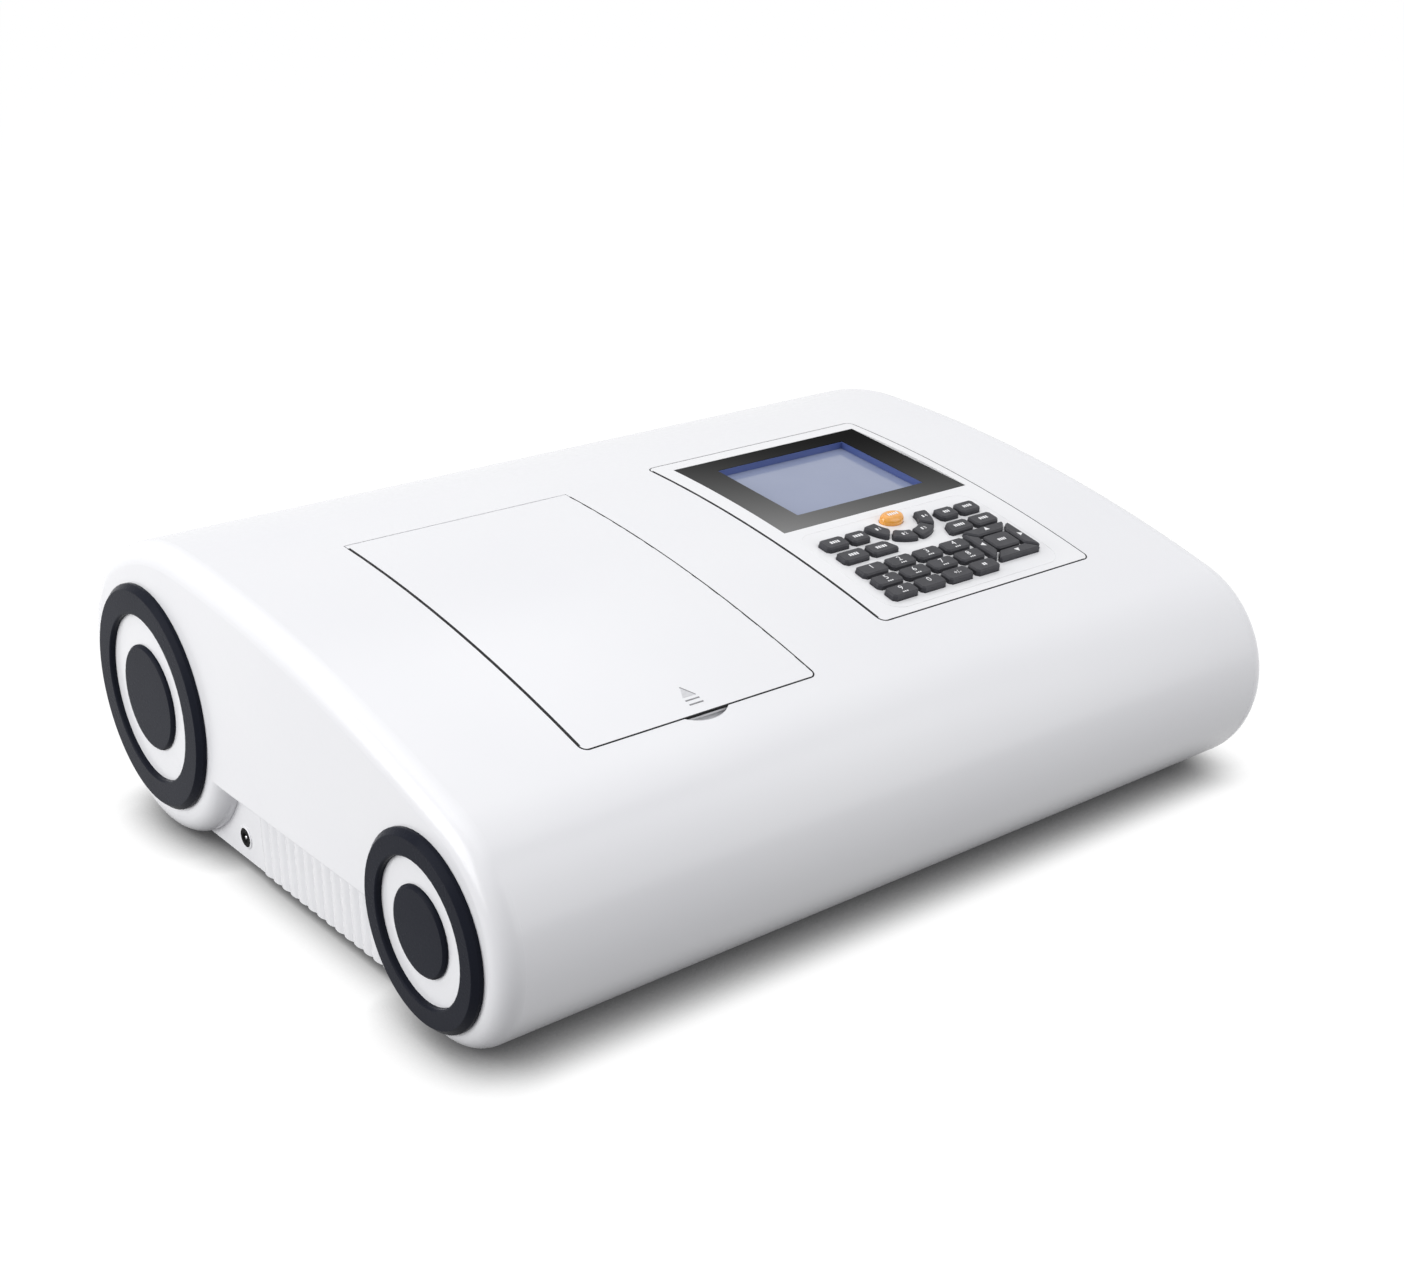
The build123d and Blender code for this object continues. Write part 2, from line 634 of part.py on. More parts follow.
def cell_block(x, y0, count, z0):
    """Holder with square pockets for cells in a row, and light slits across it."""
    length = (count - 1) * cell_pitch + cell + 2 * holder_end
    block = box(x - holder_w / 2, x + holder_w / 2, y0 - length, y0, z0, z0 + holder_h)
    for i in range(count):
        y = y0 - holder_end - cell / 2 - i * cell_pitch
        block -= box(x - cell / 2, x + cell / 2, y - cell / 2, y + cell / 2,
                     z0 + cell_floor, z0 + holder_h + 1)
        block -= box(x - holder_w, x + holder_w, y - slit_w / 2, y + slit_w / 2,
                     beam_z - slit_h / 2, beam_z + slit_h / 2)
    return block


def make_carriage():
    """Cell carriage: a row of cell pockets on a bearing block that runs on two rails."""
    y0 = sample_beam_y + cell / 2 + holder_end
    z0 = rail_z + block_h / 2
    row = cell_block(carriage_x, y0, cell_count, z0)
    length = (cell_count - 1) * cell_pitch + cell + 2 * holder_end
    block = box(carriage_x - block_w / 2, carriage_x + block_w / 2, y0 - length, y0,
                rail_z - block_h / 2, z0)
    row += chamfer(block.edges().filter_by(Axis.Y), 1.0)
    for x in rail_xs():
        row -= rod_y(x, y0 - length - 1, y0 + 1, rail_z, rail_r + rail_clear)
    return row


def rail_xs():
    """Places of the carriage's two rails."""
    return carriage_x - rail_gap_x / 2, carriage_x + rail_gap_x / 2


def make_rails():
    """Two ground rods from the front wall of the well to its back wall."""
    return [rod_y(x, well_y0, well_back_y, rail_z, rail_r) for x in rail_xs()]


def make_reference():
    """Fixed holder for the reference cell, on a pedestal on the well's floor."""
    x = reference_x
    y0 = reference_beam_y + cell / 2 + holder_end
    z0 = rail_z + block_h / 2
    block = cell_block(x, y0, 1, z0)
    length = cell + 2 * holder_end
    z = well_floor_z + well_t
    foot_half = holder_w / 2 + pedestal_foot
    stem_half = holder_w / 2 - pedestal_in
    foot = box(x - foot_half, x + foot_half, y0 - length, y0, z, z + pedestal_foot_t)
    stem = box(x - stem_half, x + stem_half, y0 - length + pedestal_in, y0 - pedestal_in, z, z0)
    return block + foot + stem


# Planes of the display and of the keypad, on the curved top
def top_plane(x, y0, y1):
    """Plane through the surface at two places along Y, with its origin midway."""
    z0, z1 = surface_z(y0), surface_z(y1)
    along = Vector(0, y1 - y0, z1 - z0).normalized()
    normal = Vector(1, 0, 0).cross(along)
    return Plane(origin=(x, (y0 + y1) / 2, (z0 + z1) / 2), x_dir=(1, 0, 0), z_dir=normal)


display_plane = top_plane((bezel_x0 + bezel_x1) / 2, bezel_y0, bezel_y1)
display_len = hypot(bezel_y1 - bezel_y0, surface_z(bezel_y1) - surface_z(bezel_y0))
tilt = atan2(keypad_y - top_c[0], surface_z(keypad_y) - top_c[1])
key_plane = Plane(origin=(0, keypad_y, surface_z(keypad_y)), x_dir=(1, 0, 0), z_dir=(0, sin(tilt), cos(tilt)))


def rect_face(x0, x1, v0, v1):
    """Rectangle on a plane's own axes."""
    return Pos((x0 + x1) / 2, (v0 + v1) / 2) * Rectangle(x1 - x0, v1 - v0)


def slanted(x0, x1, v0, v1, left=0.0, right=0.0):
    """Key outline with cut corners, and ends that may lean in towards the back."""
    face = make_face(Polyline((x0, v0), (x1, v0), (x1 - right, v1), (x0 + left, v1), close=True))
    return chamfer(face.vertices(), key_corner)


def sector(start, end):
    """Curved key outline round the enter key."""
    c = (enter_x, enter_v, 0)
    outer = CenterArc(c, smile_out, start, end - start)
    inner = CenterArc(c, smile_in, start, end - start)
    face = make_face([outer, inner, Line(outer @ 0, inner @ 0), Line(outer @ 1, inner @ 1)])
    return fillet(face.vertices(), key_corner)


def arrow_faces():
    """Four mitred outlines round the cell key, and the cell key itself."""
    x0, x1, v0, v1, w = arrow_x0, arrow_x1, arrow_v0, arrow_v1, arrow_w
    g = arrow_gap / sqrt(2)
    up = [(x0 + g, v1), (x1 - g, v1), (x1 - g - w, v1 - w), (x0 + g + w, v1 - w)]
    down = [(x0 + g, v0), (x1 - g, v0), (x1 - g - w, v0 + w), (x0 + g + w, v0 + w)]
    left = [(x0, v0 + g), (x0 + w, v0 + g + w), (x0 + w, v1 - g - w), (x0, v1 - g)]
    right = [(x1, v0 + g), (x1 - w, v0 + g + w), (x1 - w, v1 - g - w), (x1, v1 - g)]
    faces = {}
    for name, points in (("up", up), ("down", down), ("left", left), ("right", right)):
        face = make_face(Polyline(*points, close=True))
        faces[f"key_{name}"] = fillet(face.vertices(), arrow_corner_r)
    m = w + arrow_gap
    faces["key_cell"] = slanted(x0 + m, x1 - m, v0 + m, v1 - m)
    return faces


def key_faces():
    """Outline of every key on the keypad plane."""
    faces = {}
    names = ("key_9", "key_0", "key_sign", "key_clear", "key_5", "key_6", "key_7", "key_8",
             "key_1", "key_2", "key_3", "key_4")
    for i, name in enumerate(names):
        x = number_x0 + (i % 4) * number_pitch_x
        v = number_v0 + (i // 4) * number_pitch_v
        faces[name] = slanted(x, x + number_w, v, v + number_h)
    low, high, h = low_row_v, high_row_v, word_h
    # On each row two keys start at the left margin and two end at the right one
    x = number_x0
    faces["key_save"] = slanted(x, x + save_w, low, low + h)
    faces["key_help"] = slanted(x, x + help_w, high, high + h)
    x = number_x0 + save_w + key_gap
    faces["key_print"] = slanted(x, x + print_w, low, low + h, right=word_slant)
    x = number_x0 + help_w + key_gap
    faces["key_load"] = slanted(x, x + load_w, high, high + h)
    x = word_x1 - stop_w
    faces["key_stop"] = slanted(x, word_x1, low, low + h)
    x -= key_gap
    faces["key_start"] = slanted(x - start_w, x, low, low + h, left=word_slant)
    x = word_x1 - zero_w
    faces["key_zero"] = slanted(x, word_x1, high, high + h)
    x -= key_gap
    faces["key_set"] = slanted(x - set_w, x, high, high + h)
    for i in range(4):
        start = smile_start + i * smile_step
        faces[f"key_f{i + 1}"] = sector(start + smile_gap / 2, start + smile_step - smile_gap / 2)
    faces.update(arrow_faces())
    faces["key_enter"] = Pos(enter_x, enter_v) * Ellipse(enter_w / 2, enter_h / 2)
    return faces


def make_key(name, face):
    """Key: bevelled cap, retaining flange and round stem."""
    rise = enter_rise if name == "key_enter" else key_rise
    cap = extrude(Pos(0, 0, key_flange_z) * face, rise - key_flange_z)
    top = cap.faces().sort_by(Axis.Z)[-1].edges()
    cap = fillet(top, enter_round) if name == "key_enter" else chamfer(top, key_bevel)
    cap += extrude(Pos(0, 0, key_flange_z) * grown(name, face, key_flange), -key_flange_t)
    c = stem_place(name, face)
    cap += extrude(Pos(c[0], c[1], key_stem_z) * Circle(key_stem_r), key_flange_z - key_stem_z)
    return key_plane * cap


def grown(name, face, by):
    """A key's outline, grown by a margin."""
    if name == "key_enter":
        return Pos(enter_x, enter_v) * Ellipse(enter_w / 2 + by, enter_h / 2 + by)
    return offset(face, by, kind=Kind.INTERSECTION)


def stem_place(name, face):
    """Centre of a key's stem, on the body of the key."""
    c = face.center()
    if name.startswith("key_f"):
        away = atan2(c.Y - enter_v, c.X - enter_x)
        mid = (smile_in + smile_out) / 2
        return enter_x + mid * cos(away), enter_v + mid * sin(away)
    return c.X, c.Y


def make_panel(faces):
    """Control panel: a curved plate with the display's opening and a hole for each key."""
    panel = plate(panel_x0, panel_x1, panel_y0, panel_y1, 0, skin_t, panel_corner_r)
    hole = Box(bezel_x1 - bezel_x0 + 2 * bezel_gap, display_len + 2 * bezel_gap, 30)
    panel -= display_plane * hole
    for name, face in faces.items():
        panel -= key_plane * extrude(Pos(0, 0, -15) * grown(name, face, key_clear), 30)
    under = across(side_face(skin_t - 0.5), panel_x0, panel_x1)
    for x, v in post_places():
        post = key_plane * extrude(Pos(x, v, board_z) * Circle(post_r), -board_z)
        panel += post & under
    return panel


def keypad_box():
    """Extent of the key board on the keypad plane."""
    v1 = enter_v + enter_h / 2 + board_back_margin
    return number_x0 - board_margin, arrow_x1 + board_margin, number_v0 - board_margin, v1


def post_places():
    """Places of the posts between the panel and the key board."""
    x0, x1, v0, v1 = keypad_box()
    m = post_r
    return [(x0 + m, v0 + m - 1), (x1 - m, v0 + m - 1), (x0 + m, v1 - m), (x1 - m, v1 - m)]


def make_key_board(faces):
    """Key board: a flat board with a guide sleeve for each key's stem."""
    board = extrude(Pos(0, 0, board_z) * rect_face(*keypad_box()), -board_t)
    for name, face in faces.items():
        x, v = stem_place(name, face)
        ring = Circle(key_stem_r + stem_clear + sleeve_wall) - Circle(key_stem_r + stem_clear)
        board += extrude(Pos(x, v, board_z) * ring, sleeve_z - board_z)
    return key_plane * board


def make_bezel():
    """Display bezel: a flat black plate with a window and a flange behind the panel."""
    w, h = bezel_x1 - bezel_x0, display_len
    bezel = extrude(Rectangle(w, h), -bezel_t)
    rim = Rectangle(w + 2 * bezel_flange, h + 2 * bezel_flange)
    bezel += extrude(Pos(0, 0, -bezel_flange_drop) * rim, -bezel_flange_t)
    return display_plane * (bezel - extrude(Pos(0, 0, 1) * screen_face(0), -bezel_t - 2))


def screen_face(border):
    """The screen's window on the display plane, with a border round it."""
    x_mid = (screen_x0 + screen_x1) / 2 - (bezel_x0 + bezel_x1) / 2
    y_mid = (screen_y0 + screen_y1) / 2 - (bezel_y0 + bezel_y1) / 2
    w, h = screen_x1 - screen_x0, screen_y1 - screen_y0
    return Pos(x_mid, y_mid) * Rectangle(w + 2 * border, h + 2 * border)


def make_screen():
    """Display module behind the bezel's window."""
    module = extrude(Pos(0, 0, -bezel_t) * screen_face(screen_border), -screen_t)
    module = chamfer(module.edges().sort_by(Axis.Z)[:4], 2.0)
    return display_plane * module


def make_inlet():
    """Power inlet: a flanged body with the mains socket, its three blades and the switch's frame."""
    y = panel_back_y
    flange = box(inlet_x - inlet_w / 2, inlet_x + inlet_w / 2, y, y + inlet_t,
                 inlet_z - inlet_h / 2, inlet_z + inlet_h / 2)
    flange = fillet(flange.edges().filter_by(Axis.Y), 3)
    half_w = inlet_w / 2 - 3 - inlet_gap
    half_h = inlet_h / 2 - 2 - inlet_gap
    body = box(inlet_x - half_w, inlet_x + half_w, y - inlet_body_depth, y,
               inlet_z - half_h, inlet_z + half_h)
    body += flange
    sx = inlet_x - inlet_w / 2 + 5 + socket_w / 2
    mouth = Pos(sx, 0, inlet_z) * Rot(90, 0, 0) * Pos(0, 0, -y - inlet_t - 1) * extrude(
        chamfer(Rectangle(socket_w, socket_h).vertices().sort_by(Axis.Y)[-2:], 4), socket_depth + 1)
    body -= mouth
    for dx, dz in ((-7, -1.5), (0, 2.5), (7, -1.5)):
        x, z = sx + dx, inlet_z + dz
        y_root = y + inlet_t - socket_depth
        body += box(x - blade_w / 2, x + blade_w / 2, y_root - 0.5, y_root + blade_len,
                    z - blade_t / 2, z + blade_t / 2)
    c = rocker_clear
    body -= box(rocker_x - rocker_w / 2 - c, rocker_x + rocker_w / 2 + c, y - 12, y + inlet_t + 1,
                inlet_z - rocker_h / 2 - c, inlet_z + rocker_h / 2 + c)
    return body


def make_rocker():
    """Rocker of the power switch: two faces that lean away from its pivot."""
    h = rocker_half
    tip, dip = rocker_pivot + 1.3, rocker_pivot - 0.9
    face = make_face(Polyline((-1, 6 - h), (-1, h - 6), (2, h - 1), (5, h), (tip, h), (dip, 0), (tip, -h),
                              (5, -h), (2, 1 - h), close=True))
    rocker = across(face, rocker_x - rocker_w / 2, rocker_x + rocker_w / 2)
    pivot_y = panel_back_y + inlet_t - rocker_pivot
    return Pos(0, pivot_y, inlet_z) * Rot(rocker_tilt, 0, 0) * rocker


def make_ports():
    """Data ports: a block behind the panel with a USB socket and a serial plug shell."""
    y = panel_back_y
    g = inlet_gap
    block = box(port_x - port_w / 2 + g, port_x + port_w / 2 - g, y - port_t, y + port_lip,
                port_z - port_h / 2 + g, port_z + port_h / 2 - g)
    ux = port_x - port_w / 2 + 7
    block -= box(ux - usb_w / 2, ux + usb_w / 2, y + port_lip - usb_depth, y + port_lip + 1,
                 port_z - usb_h / 2, port_z + usb_h / 2)
    block -= box(port_x - 4, port_x + port_w / 2 - 3, y, y + port_lip + 1, port_z - 5, port_z + 5)
    sx = port_x + 7
    shell = make_face(Polyline((sx - 9.5, port_z + 4), (sx + 9.5, port_z + 4), (sx + 8, port_z - 4),
                               (sx - 8, port_z - 4), close=True))
    block += extrude(Plane.XZ.offset(-y - 3) * fillet(shell.vertices(), 1.5), 3.5)
    return block


def make_fan_frame():
    """Fan frame: a square duct behind the panel, with spokes that carry the motor."""
    y1 = panel_back_y - panel_back_t
    y0 = y1 - fan_depth
    half = fan_size / 2
    frame = box(fan_x - half, fan_x + half, y0, y1, fan_z - half, fan_z + half)
    frame = fillet(frame.edges().filter_by(Axis.Y), 4)
    frame -= rod_y(fan_x, y0 - 1, y1 + 1, fan_z, fan_bore_r)
    motor = rod_y(fan_x, y0, y0 + 3, fan_z, fan_hub_r)
    for angle in (0, 120, 240):
        spoke = Pos(fan_bore_r / 2, 0, 0) * Box(fan_bore_r + 3, 3, fan_spoke)
        motor += Pos(fan_x, y0 + 1.5, fan_z) * Rot(0, angle, 0) * spoke
    motor += rod_y(fan_x, y0, y1 - 4.5, fan_z, fan_shaft_r)
    for sx in (-1, 1):
        for sz in (-1, 1):
            frame -= rod_y(fan_x + sx * (half - 5), y0 - 1, y1 + 1, fan_z + sz * (half - 5), 2.1)
    return frame + motor


def make_fan_rotor():
    """Fan rotor: a cup hub with pitched blades, on the motor's shaft."""
    y1 = panel_back_y - panel_back_t - 2
    y0 = y1 - fan_depth + 6
    hub = rod_y(0, y0, y1, 0, fan_hub_r)
    mid = (y0 + y1) / 2
    tip = fan_bore_r - fan_tip_gap
    for i in range(fan_blades):
        blade = Pos((tip + fan_hub_r) / 2 - 1, 0, 0) * Rot(fan_blade_pitch, 0, 0) * Box(
            tip - fan_hub_r + 2, y1 - y0 - 3, fan_blade_t)
        hub += Pos(0, mid, 0) * Rot(0, 360 / fan_blades * i, 0) * blade
    hub &= rod_y(0, y0, y1, 0, tip)
    hub -= rod_y(0, y0 - 1, y1 - 2, 0, fan_shaft_r + hinge_clear)
    return Pos(fan_x, 0, fan_z) * hub


def make_bench():
    """Optical bench: a ribbed cast plate on the pads of the floor."""
    bench = box(bench_x0, bench_x1, bench_y0, bench_y1, bench_z, bench_z + bench_t)
    return fillet(bench.edges().filter_by(Axis.Z), bench_round)


def housing(x0, x1, y0, y1, height, rounding):
    """Cast box on the bench with rounded upright edges and an overhanging lid."""
    z = bench_z + bench_t
    body = box(x0, x1, y0, y1, z, z + height)
    body = fillet(body.edges().filter_by(Axis.Z), rounding)
    o = unit_lid_over
    lid = box(x0 - o, x1 + o, y0 - o, y1 + o, z + height, z + height + unit_lid_t)
    return body + fillet(lid.edges().filter_by(Axis.Z), rounding + o)


def make_monochromator():
    """Monochromator housing, with the column of its grating shaft on top."""
    body = housing(mono_x0, mono_x1, mono_y0, mono_y1, mono_h, mono_round)
    z = bench_z + bench_t + mono_h + unit_lid_t
    y = (mono_y0 + mono_y1) / 2
    body += extrude(Pos(turret_x, y, z) * Circle(turret_r), turret_h)
    return body


def make_lamp_house():
    """Lamp house with cooling fins along its top."""
    body = housing(lamp_x0, lamp_x1, lamp_y0, lamp_y1, lamp_h, lamp_round)
    z = bench_z + bench_t + lamp_h + unit_lid_t
    pitch = (lamp_x1 - lamp_x0 - fin_t) / (fin_count - 1)
    for i in range(fin_count):
        x = lamp_x0 + i * pitch
        body += box(x, x + fin_t, lamp_y0, lamp_y1, z, z + fin_h)
    return body


def make_detector():
    """Detector box, with a light port for each beam on the side of the well."""
    body = housing(det_x0, det_x1, det_y0, det_y1, det_h, det_round)
    for y in beam_ys():
        port = rod_x(well_x1 + 1, det_x0, y, beam_z, window_r + 2)
        body += port - rod_x(well_x1, det_x0 + 1, y, beam_z, window_hole_r)
    return body


def make_supply():
    """Power supply: a perforated steel box beside the lamp house."""
    z = floor_z + floor_t
    body = box(supply_x0, supply_x1, supply_y0, supply_y1, z, z + supply_h)
    body = fillet(body.edges().filter_by(Axis.Z), supply_round)
    for i in range(supply_vents):
        x = supply_x0 + supply_margin + i * supply_vent_pitch
        body -= box(x, x + supply_vent_w, supply_y0 + supply_margin, supply_y1 - supply_margin,
                    z + supply_h - supply_vent_depth, z + supply_h + 1)
    return body


def make_main_board():
    """Main board on its posts, with its processor, connectors and heat sink."""
    board = box(main_x0, main_x1, main_y0, main_y1, main_z, main_z + main_t)
    z = main_z + main_t
    board += box(chip_x, chip_x + chip_size, chip_y, chip_y + chip_size, z, z + chip_t)
    board += box(plug_x, plug_x + plug_w, plug_y, plug_y + plug_len, z, z + plug_h)
    board += box(sink_x, sink_x + sink_w, sink_y, sink_y + sink_len, z, z + sink_t)
    pitch = (sink_w - sink_fin_t) / (sink_fins - 1)
    for i in range(sink_fins):
        x = sink_x + i * pitch
        board += box(x, x + sink_fin_t, sink_y, sink_y + sink_len, z, z + sink_fin_h)
    return board


# Case
cap = make_cap()
write("top_cover", make_cover())
write("base_pan", make_base())
write("left_end_cap", cap)
write("right_end_cap", mirror(cap, Plane.YZ))
discs = ((rear_disc_y, rear_disc_z, rear_ring_r, rear_field_r, rear_hub_r),
         (front_disc_y, front_disc_z, front_ring_r, front_field_r, front_hub_r))
write("trim_rings", both_ends([trim_ring(y, z, ring, field) for y, z, ring, field, hub in discs]))
write("trim_hubs", both_ends([trim_hub(y, z, hub) for y, z, ring, field, hub in discs]))
write("side_jack", make_jack())
write("rubber_feet", make_feet())

# Lid and sample well
write("sample_lid", make_lid())
write("lid_hinge_pins", make_pins())
write("sample_well", make_well())
write("well_windows", make_windows())
write("cell_carriage", make_carriage())
write("carriage_rails", make_rails())
write("reference_holder", make_reference())

# Control panel
keys = key_faces()
write("control_panel", make_panel(keys))
write("display_bezel", make_bezel())
write("display_module", make_screen())
write("key_board", make_key_board(keys))
for key_name, key_face in keys.items():
    write(key_name, make_key(key_name, key_face))

# Back bay
write("power_inlet", make_inlet())
write("power_rocker", make_rocker())
write("data_ports", make_ports())
write("fan_frame", make_fan_frame())
write("fan_rotor", make_fan_rotor())

# Inner units
write("optical_bench", make_bench())
write("monochromator", make_monochromator())
write("lamp_house", make_lamp_house())
write("detector_box", make_detector())
write("power_supply", make_supply())
write("main_board", make_main_board())
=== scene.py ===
"""Looks of a double beam spectrophotometer, built round its packed construction.

Metres. X runs left to right as the user faces it, Y front to back, Z up.
"""
import json
import math

import bmesh
import bpy
from mathutils import Matrix, Vector
from mathutils.bvhtree import BVHTree
from mathutils.geometry import tessellate_polygon

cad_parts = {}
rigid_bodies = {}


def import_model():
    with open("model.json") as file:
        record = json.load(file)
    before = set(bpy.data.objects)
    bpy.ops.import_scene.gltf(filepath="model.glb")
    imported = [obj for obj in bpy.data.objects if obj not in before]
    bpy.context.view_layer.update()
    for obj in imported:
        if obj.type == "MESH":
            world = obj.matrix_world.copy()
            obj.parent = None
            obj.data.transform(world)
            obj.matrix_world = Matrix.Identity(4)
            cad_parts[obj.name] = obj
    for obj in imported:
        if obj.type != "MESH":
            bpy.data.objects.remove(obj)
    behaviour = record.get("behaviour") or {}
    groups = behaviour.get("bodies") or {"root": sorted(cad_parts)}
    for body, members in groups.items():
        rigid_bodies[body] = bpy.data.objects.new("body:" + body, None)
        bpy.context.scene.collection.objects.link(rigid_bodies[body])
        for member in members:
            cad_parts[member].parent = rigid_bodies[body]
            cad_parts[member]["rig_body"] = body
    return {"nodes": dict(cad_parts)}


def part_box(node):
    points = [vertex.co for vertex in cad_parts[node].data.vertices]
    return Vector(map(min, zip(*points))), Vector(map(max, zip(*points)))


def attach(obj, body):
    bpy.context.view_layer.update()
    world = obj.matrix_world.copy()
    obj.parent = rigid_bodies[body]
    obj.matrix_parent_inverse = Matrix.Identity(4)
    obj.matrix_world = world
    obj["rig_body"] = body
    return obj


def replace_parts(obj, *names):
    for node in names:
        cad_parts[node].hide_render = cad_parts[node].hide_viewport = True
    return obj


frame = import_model()
bpy.context.view_layer.update()
nodes = frame["nodes"]

# Bench top: a seamless pale sheet under soft studio light.
# It isn't part of the instrument. The camera stands at the user's left, looking down.
CAMERA_AT = (-0.7748, -1.0179, 0.6016)
CAMERA_YAW, CAMERA_PITCH, CAMERA_ROLL = 38.03, 21.28, 0.83
LENS, FILM_WIDTH = 51.03, 36.0
ROOM_TINT, ROOM_LIGHT = (0.955, 0.965, 1.0, 1), 0.42
LAMPS = {"overhead": ((-0.05, 0.15, 1.70), (-0.05, 0.0, 0.18), 2.2, 14.2),
         "left": ((-2.20, 0.60, 0.70), (-0.30, 0.0, 0.12), 1.8, 39.0),
         "front": ((1.00, -2.30, 1.05), (0.05, -0.20, 0.12), 2.6, 26.0)}
SHEET_HALF = 12.0
SHEET_WHITE = (1.0, 1.0, 1.0, 1)
SHEET_SHADE = (0.04, 0.04, 0.042, 1)
SHEET_BOUNCE = (0.22, 0.22, 0.225, 1)
SHEET_MATT = 0.10
SHEET_GLOW = 0.96
CONTACT_REACH = 0.035
CONTACT_DARK = 0.04

camera = bpy.data.objects.new("camera", bpy.data.cameras.new("camera"))
camera.data.lens = LENS
camera.data.sensor_width = FILM_WIDTH
camera.location = CAMERA_AT
yaw, pitch, roll = (math.radians(angle) for angle in (CAMERA_YAW, CAMERA_PITCH, CAMERA_ROLL))
turn = Matrix.Rotation(-yaw, 3, "Z")
turn @= Matrix.Rotation(math.pi / 2 - pitch, 3, "X")
turn @= Matrix.Rotation(-roll, 3, "Z")
camera.rotation_euler = turn.to_euler()
bpy.context.scene.collection.objects.link(camera)
bpy.context.scene.camera = camera
bpy.context.scene.view_settings.view_transform = "Standard"


def seen_or_mirrored(tree):
    """1 for a ray from the eye, off a gloss or through glass, and 0 for the light that falls on things."""
    path = tree.nodes.new("ShaderNodeLightPath")
    total = path.outputs["Is Camera Ray"]
    for name in ("Is Glossy Ray", "Is Transmission Ray"):
        add = tree.nodes.new("ShaderNodeMath")
        add.operation = "MAXIMUM"
        tree.links.new(total, add.inputs[0])
        tree.links.new(path.outputs[name], add.inputs[1])
        total = add.outputs[0]
    return total


def studio_light():
    """Even light from all round, and three soft boxes, each with its place, target, width and power."""
    world = bpy.data.worlds.new("studio")
    bpy.context.scene.world = world
    world.use_nodes = True
    tree = world.node_tree
    tree.nodes.clear()
    out = tree.nodes.new("ShaderNodeOutputWorld")
    mix = tree.nodes.new("ShaderNodeMixShader")
    falls, shows = (tree.nodes.new("ShaderNodeBackground") for _ in range(2))
    falls.inputs["Color"].default_value = ROOM_TINT
    falls.inputs["Strength"].default_value = ROOM_LIGHT
    shows.inputs["Color"].default_value = SHEET_WHITE
    tree.links.new(seen_or_mirrored(tree), mix.inputs[0])
    tree.links.new(falls.outputs[0], mix.inputs[1])
    tree.links.new(shows.outputs[0], mix.inputs[2])
    tree.links.new(mix.outputs[0], out.inputs["Surface"])
    for name, (at, target, width, watts) in LAMPS.items():
        lamp = bpy.data.objects.new(name, bpy.data.lights.new(name, "AREA"))
        lamp.data.energy = watts
        lamp.data.size = width
        lamp.location = at
        lamp.rotation_mode = "QUATERNION"
        lamp.rotation_quaternion = (Vector(target) - Vector(at)).to_track_quat("-Z", "Y")
        bpy.context.scene.collection.objects.link(lamp)


def colour_mix(tree, first, second):
    """Node that goes from one colour to another."""
    mix = tree.nodes.new("ShaderNodeMix")
    mix.data_type = "RGBA"
    mix.inputs["A"].default_value = first
    mix.inputs["B"].default_value = second
    return mix


def bench_sheet():
    """Wide flat sheet, darker in the close shade under what stands on it, that throws back little light.

    Most of its white is its own glow, so it is as pale far from the lamps as under them.
    """
    mesh = bpy.data.meshes.new("bench_sheet")
    h = SHEET_HALF
    mesh.from_pydata([(-h, -h, 0), (h, -h, 0), (h, h, 0), (-h, h, 0)], [], [(0, 1, 2, 3)])
    sheet = bpy.data.objects.new("bench_sheet", mesh)
    bpy.context.scene.collection.objects.link(sheet)
    material = bpy.data.materials.new("bench_paper")
    material.use_nodes = True
    tree = material.node_tree
    tree.nodes.clear()
    out = tree.nodes.new("ShaderNodeOutputMaterial")
    seen = seen_or_mirrored(tree)
    near = tree.nodes.new("ShaderNodeAmbientOcclusion")
    near.inputs["Distance"].default_value = CONTACT_REACH
    fade = tree.nodes.new("ShaderNodeMapRange")
    fade.interpolation_type = "SMOOTHSTEP"
    fade.inputs["From Min"].default_value = CONTACT_DARK
    shade = colour_mix(tree, SHEET_SHADE, SHEET_WHITE)
    dim = tree.nodes.new("ShaderNodeVectorMath")
    dim.operation = "SCALE"
    dim.inputs["Scale"].default_value = SHEET_MATT
    bounce = colour_mix(tree, SHEET_BOUNCE, SHEET_WHITE)
    matt = tree.nodes.new("ShaderNodeBsdfDiffuse")
    strength = tree.nodes.new("ShaderNodeMath")
    strength.operation = "MULTIPLY"
    strength.inputs[1].default_value = SHEET_GLOW
    glow = tree.nodes.new("ShaderNodeEmission")
    add = tree.nodes.new("ShaderNodeAddShader")
    tree.links.new(near.outputs["AO"], fade.inputs["Value"])
    tree.links.new(fade.outputs[0], shade.inputs["Factor"])
    tree.links.new(shade.outputs["Result"], dim.inputs[0])
    tree.links.new(dim.outputs[0], bounce.inputs["B"])
    tree.links.new(seen, bounce.inputs["Factor"])
    tree.links.new(bounce.outputs["Result"], matt.inputs["Color"])
    tree.links.new(shade.outputs["Result"], glow.inputs["Color"])
    tree.links.new(seen, strength.inputs[0])
    tree.links.new(strength.outputs[0], glow.inputs["Strength"])
    tree.links.new(matt.outputs[0], add.inputs[0])
    tree.links.new(glow.outputs[0], add.inputs[1])
    tree.links.new(add.outputs[0], out.inputs["Surface"])
    mesh.materials.append(material)


studio_light()
bench_sheet()


